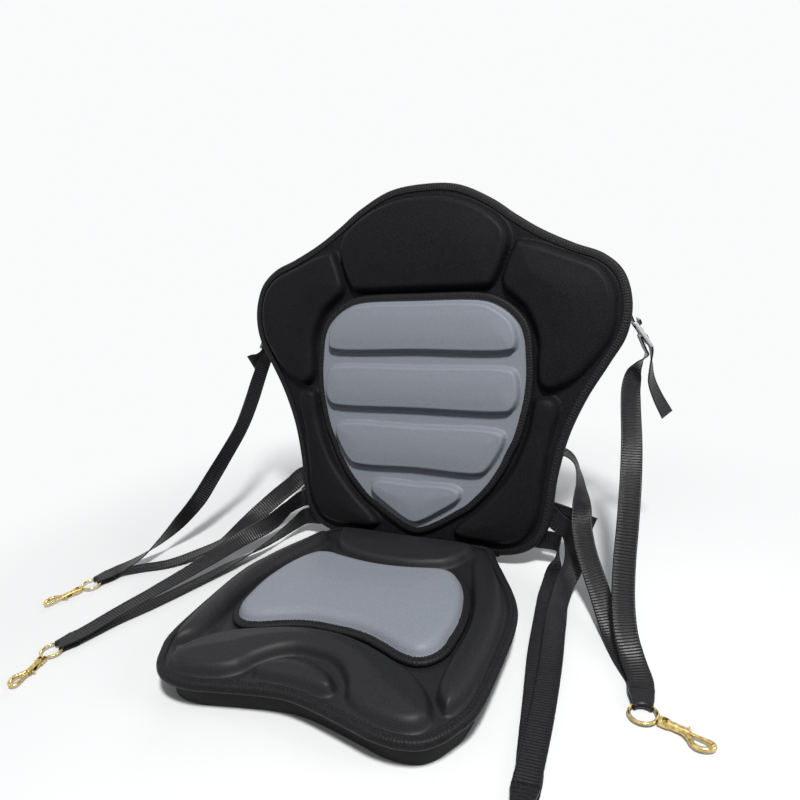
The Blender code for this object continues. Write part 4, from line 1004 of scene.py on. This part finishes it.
def arm_line():
    start = BARREL_END - ARM_WIDTH
    deep = -MOUTH_DEPTH - BOLT_WIDTH / 2
    return [(start, -BARREL_WIDTH / 2 + ARM_WIDTH / 2, 0), (BARREL_END + 0.15 * MOUTH_LENGTH, 0.55 * deep, 0),
            (BARREL_END + 0.45 * MOUTH_LENGTH, 0.93 * deep, 0), (BARREL_END + 0.80 * MOUTH_LENGTH, deep, 0),
            (BARREL_END + 1.20 * MOUTH_LENGTH, 0.80 * deep, 0), (TIP_X + 1.3 * ARM_WIDTH, 0.40 * deep, 0),
            (TIP_X + 1.0 * ARM_WIDTH, -0.25 * ARM_WIDTH, 0), (TIP_X, 0, 0)]


def hook(name):
    """Ring with its swivel pin, hook body with its arm, and the sprung bolt with its thumb stud."""
    place = hook_place(name)[0]
    overlap = PIN_HEAD_LENGTH / 2
    eye = combined(name + "_ring", solid_ring(RING_RADIUS, RING_WIRE), [
        ("UNION", solid_rod(along_x(RING_RADIUS), along_x(HEAD_X + overlap), PIN_WIDTH)),
        ("UNION", solid_rod(along_x(HEAD_X), along_x(HEAD_X + PIN_HEAD_LENGTH), PIN_HEAD_WIDTH))])
    window_end = WINDOW_X + COLLAR_WINDOW
    reach = Vector((0, PIN_HEAD_WIDTH / 2 + PIN_PLAY, COLLAR_WIDTH))
    half = STUD_WIDTH / 2 + BOLT_PLAY
    widths = [ARM_WIDTH, 0.95 * ARM_WIDTH, ARM_WIDTH, ARM_WIDTH, 0.95 * ARM_WIDTH]
    body = combined(name + "_snap", solid_rod(along_x(COLLAR_X), along_x(window_end + TAPER), COLLAR_WIDTH), [
        ("UNION", solid_rod(along_x(window_end + TAPER / 2), along_x(BARREL_END), BARREL_WIDTH)),
        ("UNION", solid_tube(arm_line(), widths)),
        ("DIFFERENCE", solid_box(along_x(WINDOW_X) - reach, along_x(window_end) + reach)),
        ("DIFFERENCE", solid_rod(along_x(COLLAR_X - MM), along_x(WINDOW_X + MM), PIN_WIDTH + 2 * PIN_PLAY)),
        ("DIFFERENCE", solid_rod(along_x(BORE_X), along_x(BARREL_END + MM), BOLT_WIDTH + 2 * BOLT_PLAY)),
        ("DIFFERENCE", solid_box(along_x(STUD_X - BOLT_TRAVEL - half, 0, -half),
                                 along_x(STUD_X + half, BARREL_WIDTH, half)))], rounding=0.35 * MM)
    bolt = combined(name + "_thumb_bolt", solid_rod(along_x(TIP_X - GAP - BOLT_LENGTH), along_x(TIP_X - GAP),
                                                    BOLT_WIDTH), [
        ("UNION", solid_rod(along_x(STUD_X), along_x(STUD_X, STUD_REACH), STUD_WIDTH))], rounding=0.3 * MM)
    return [add_piece(name + "_ring", eye, "brass", place, node=name + "_eye"),
            add_piece(name + "_snap", body, "brass", place, body=name + "_swivel_body", node=name + "_body"),
            add_piece(name + "_thumb_bolt", bolt, "brass", place, body=name + "_bolt_body",
                      node=name + "_bolt")]


# Camera, floor and light

def camera():
    cy, sy = math.cos(CAMERA_YAW), math.sin(CAMERA_YAW)
    cp, sp = math.cos(CAMERA_PITCH), math.sin(CAMERA_PITCH)
    cr, sr = math.cos(CAMERA_ROLL), math.sin(CAMERA_ROLL)
    back = Vector((sy * cp, -cy * cp, sp))
    right = Vector((cy, sy, 0))
    up = back.cross(right)
    rolled_right = right * cr + up * sr
    rolled_up = up * cr - right * sr
    data = bpy.data.cameras.new("photo_camera")
    data.lens = CAMERA_LENS_MM
    data.sensor_width = 36.0
    data.shift_x, data.shift_y = CAMERA_SHIFT
    obj = bpy.data.objects.new("photo_camera", data)
    turn = Matrix((rolled_right, rolled_up, back)).transposed().to_4x4()
    obj.matrix_world = Matrix.Translation(CAMERA_PLACE) @ turn
    bpy.context.scene.collection.objects.link(obj)
    bpy.context.scene.camera = obj


def background_rays(nodes, links):
    """1 for the rays that show the background, 0 for those that light the cushion."""
    seen = nodes.new("ShaderNodeLightPath").outputs
    shown = math_node(nodes, links, "MAXIMUM", seen["Is Camera Ray"], seen["Is Glossy Ray"])
    return math_node(nodes, links, "MAXIMUM", shown, seen["Is Transmission Ray"])


def floor():
    """A pale floor that curves up into a backdrop."""
    radius, wide, near, far = 1.2, 6.0, -3.0, 2.2
    line = [(near, 0.0), (far, 0.0)]
    line += [(far + radius * math.sin(turn), radius * (1 - math.cos(turn)))
             for turn in np.linspace(0, math.pi / 2, 24)[1:]]
    line.append((far + radius, 5.0))
    verts = [(side * wide, y, z - 0.2 * MM) for y, z in line for side in (-1, 1)]
    faces = [(2 * k, 2 * k + 1, 2 * k + 3, 2 * k + 2) for k in range(len(line) - 1)]
    mesh = mesh_of("studio_floor", verts, faces)
    obj = bpy.data.objects.new("studio_floor", mesh)
    bpy.context.scene.collection.objects.link(obj)
    made, nodes, links, shader = shader_of("studio_floor")
    shown = background_rays(nodes, links)
    links.new(colour_ramp(nodes, links, shown, FLOOR_UNSEEN, FLOOR_SHOWN, 0.0, 1.0),
              shader.inputs["Base Color"])
    shader.inputs["Roughness"].default_value = 0.9
    shader.inputs["Specular IOR Level"].default_value = 0.0
    far_off = nodes.new("ShaderNodeVectorMath")
    far_off.operation = "LENGTH"
    links.new(nodes.new("ShaderNodeTexCoord").outputs["Object"], far_off.inputs[0])
    fade = nodes.new("ShaderNodeMapRange")
    fade.interpolation_type = "SMOOTHSTEP"
    fade.inputs["From Min"].default_value, fade.inputs["From Max"].default_value = FLOOR_FADE
    links.new(far_off.outputs["Value"], fade.inputs["Value"])
    glow = nodes.new("ShaderNodeEmission")
    glow.inputs["Color"].default_value = (*BACKDROP, 1)
    mixed = nodes.new("ShaderNodeMixShader")
    links.new(math_node(nodes, links, "MULTIPLY", fade.outputs["Result"], shown), mixed.inputs["Fac"])
    links.new(shader.outputs["BSDF"], mixed.inputs[1])
    links.new(glow.outputs["Emission"], mixed.inputs[2])
    links.new(mixed.outputs["Shader"], nodes["Material Output"].inputs["Surface"])
    mesh.materials.append(made)


def area_light(name, place, target, size, power, colour):
    data = bpy.data.lights.new(name, "AREA")
    data.size = size
    data.energy = power
    data.color = colour
    obj = bpy.data.objects.new(name, data)
    way = Vector(target) - Vector(place)
    obj.matrix_world = Matrix.Translation(place) @ way.to_track_quat("-Z", "Y").to_matrix().to_4x4()
    bpy.context.scene.collection.objects.link(obj)


def lights():
    world = bpy.data.worlds.new("studio")
    bpy.context.scene.world = world
    world.use_nodes = True
    nodes, links = world.node_tree.nodes, world.node_tree.links
    shown = background_rays(nodes, links)
    links.new(colour_ramp(nodes, links, shown, WORLD_LIGHT, BACKDROP, 0.0, 1.0),
              nodes["Background"].inputs["Color"])
    for name, place, size, power, colour in LAMPS:
        area_light(name, place, LAMP_TARGET, size, power, colour)


BACK = Matrix.Translation(BACK_FOOT) @ Matrix.Rotation(math.pi / 2 - BACK_RECLINE, 4, "X")
SEAT = Matrix.Translation((0, SEAT_REAR_Y, SEAT_HEIGHT)) @ Matrix.Rotation(math.pi, 4, "Z")

bpy.context.scene.view_settings.view_transform = "Standard"
MATERIALS = make_materials()
camera()
HOOK_PIECES = {}
for hook_name in HOOKS:
    HOOK_PIECES[hook_name] = hook(hook_name)
    end_loop(hook_name)
straps()
backrest()
shield()
seat()
saddle()
base_foam()
fold_cloth()
floor()
lights()
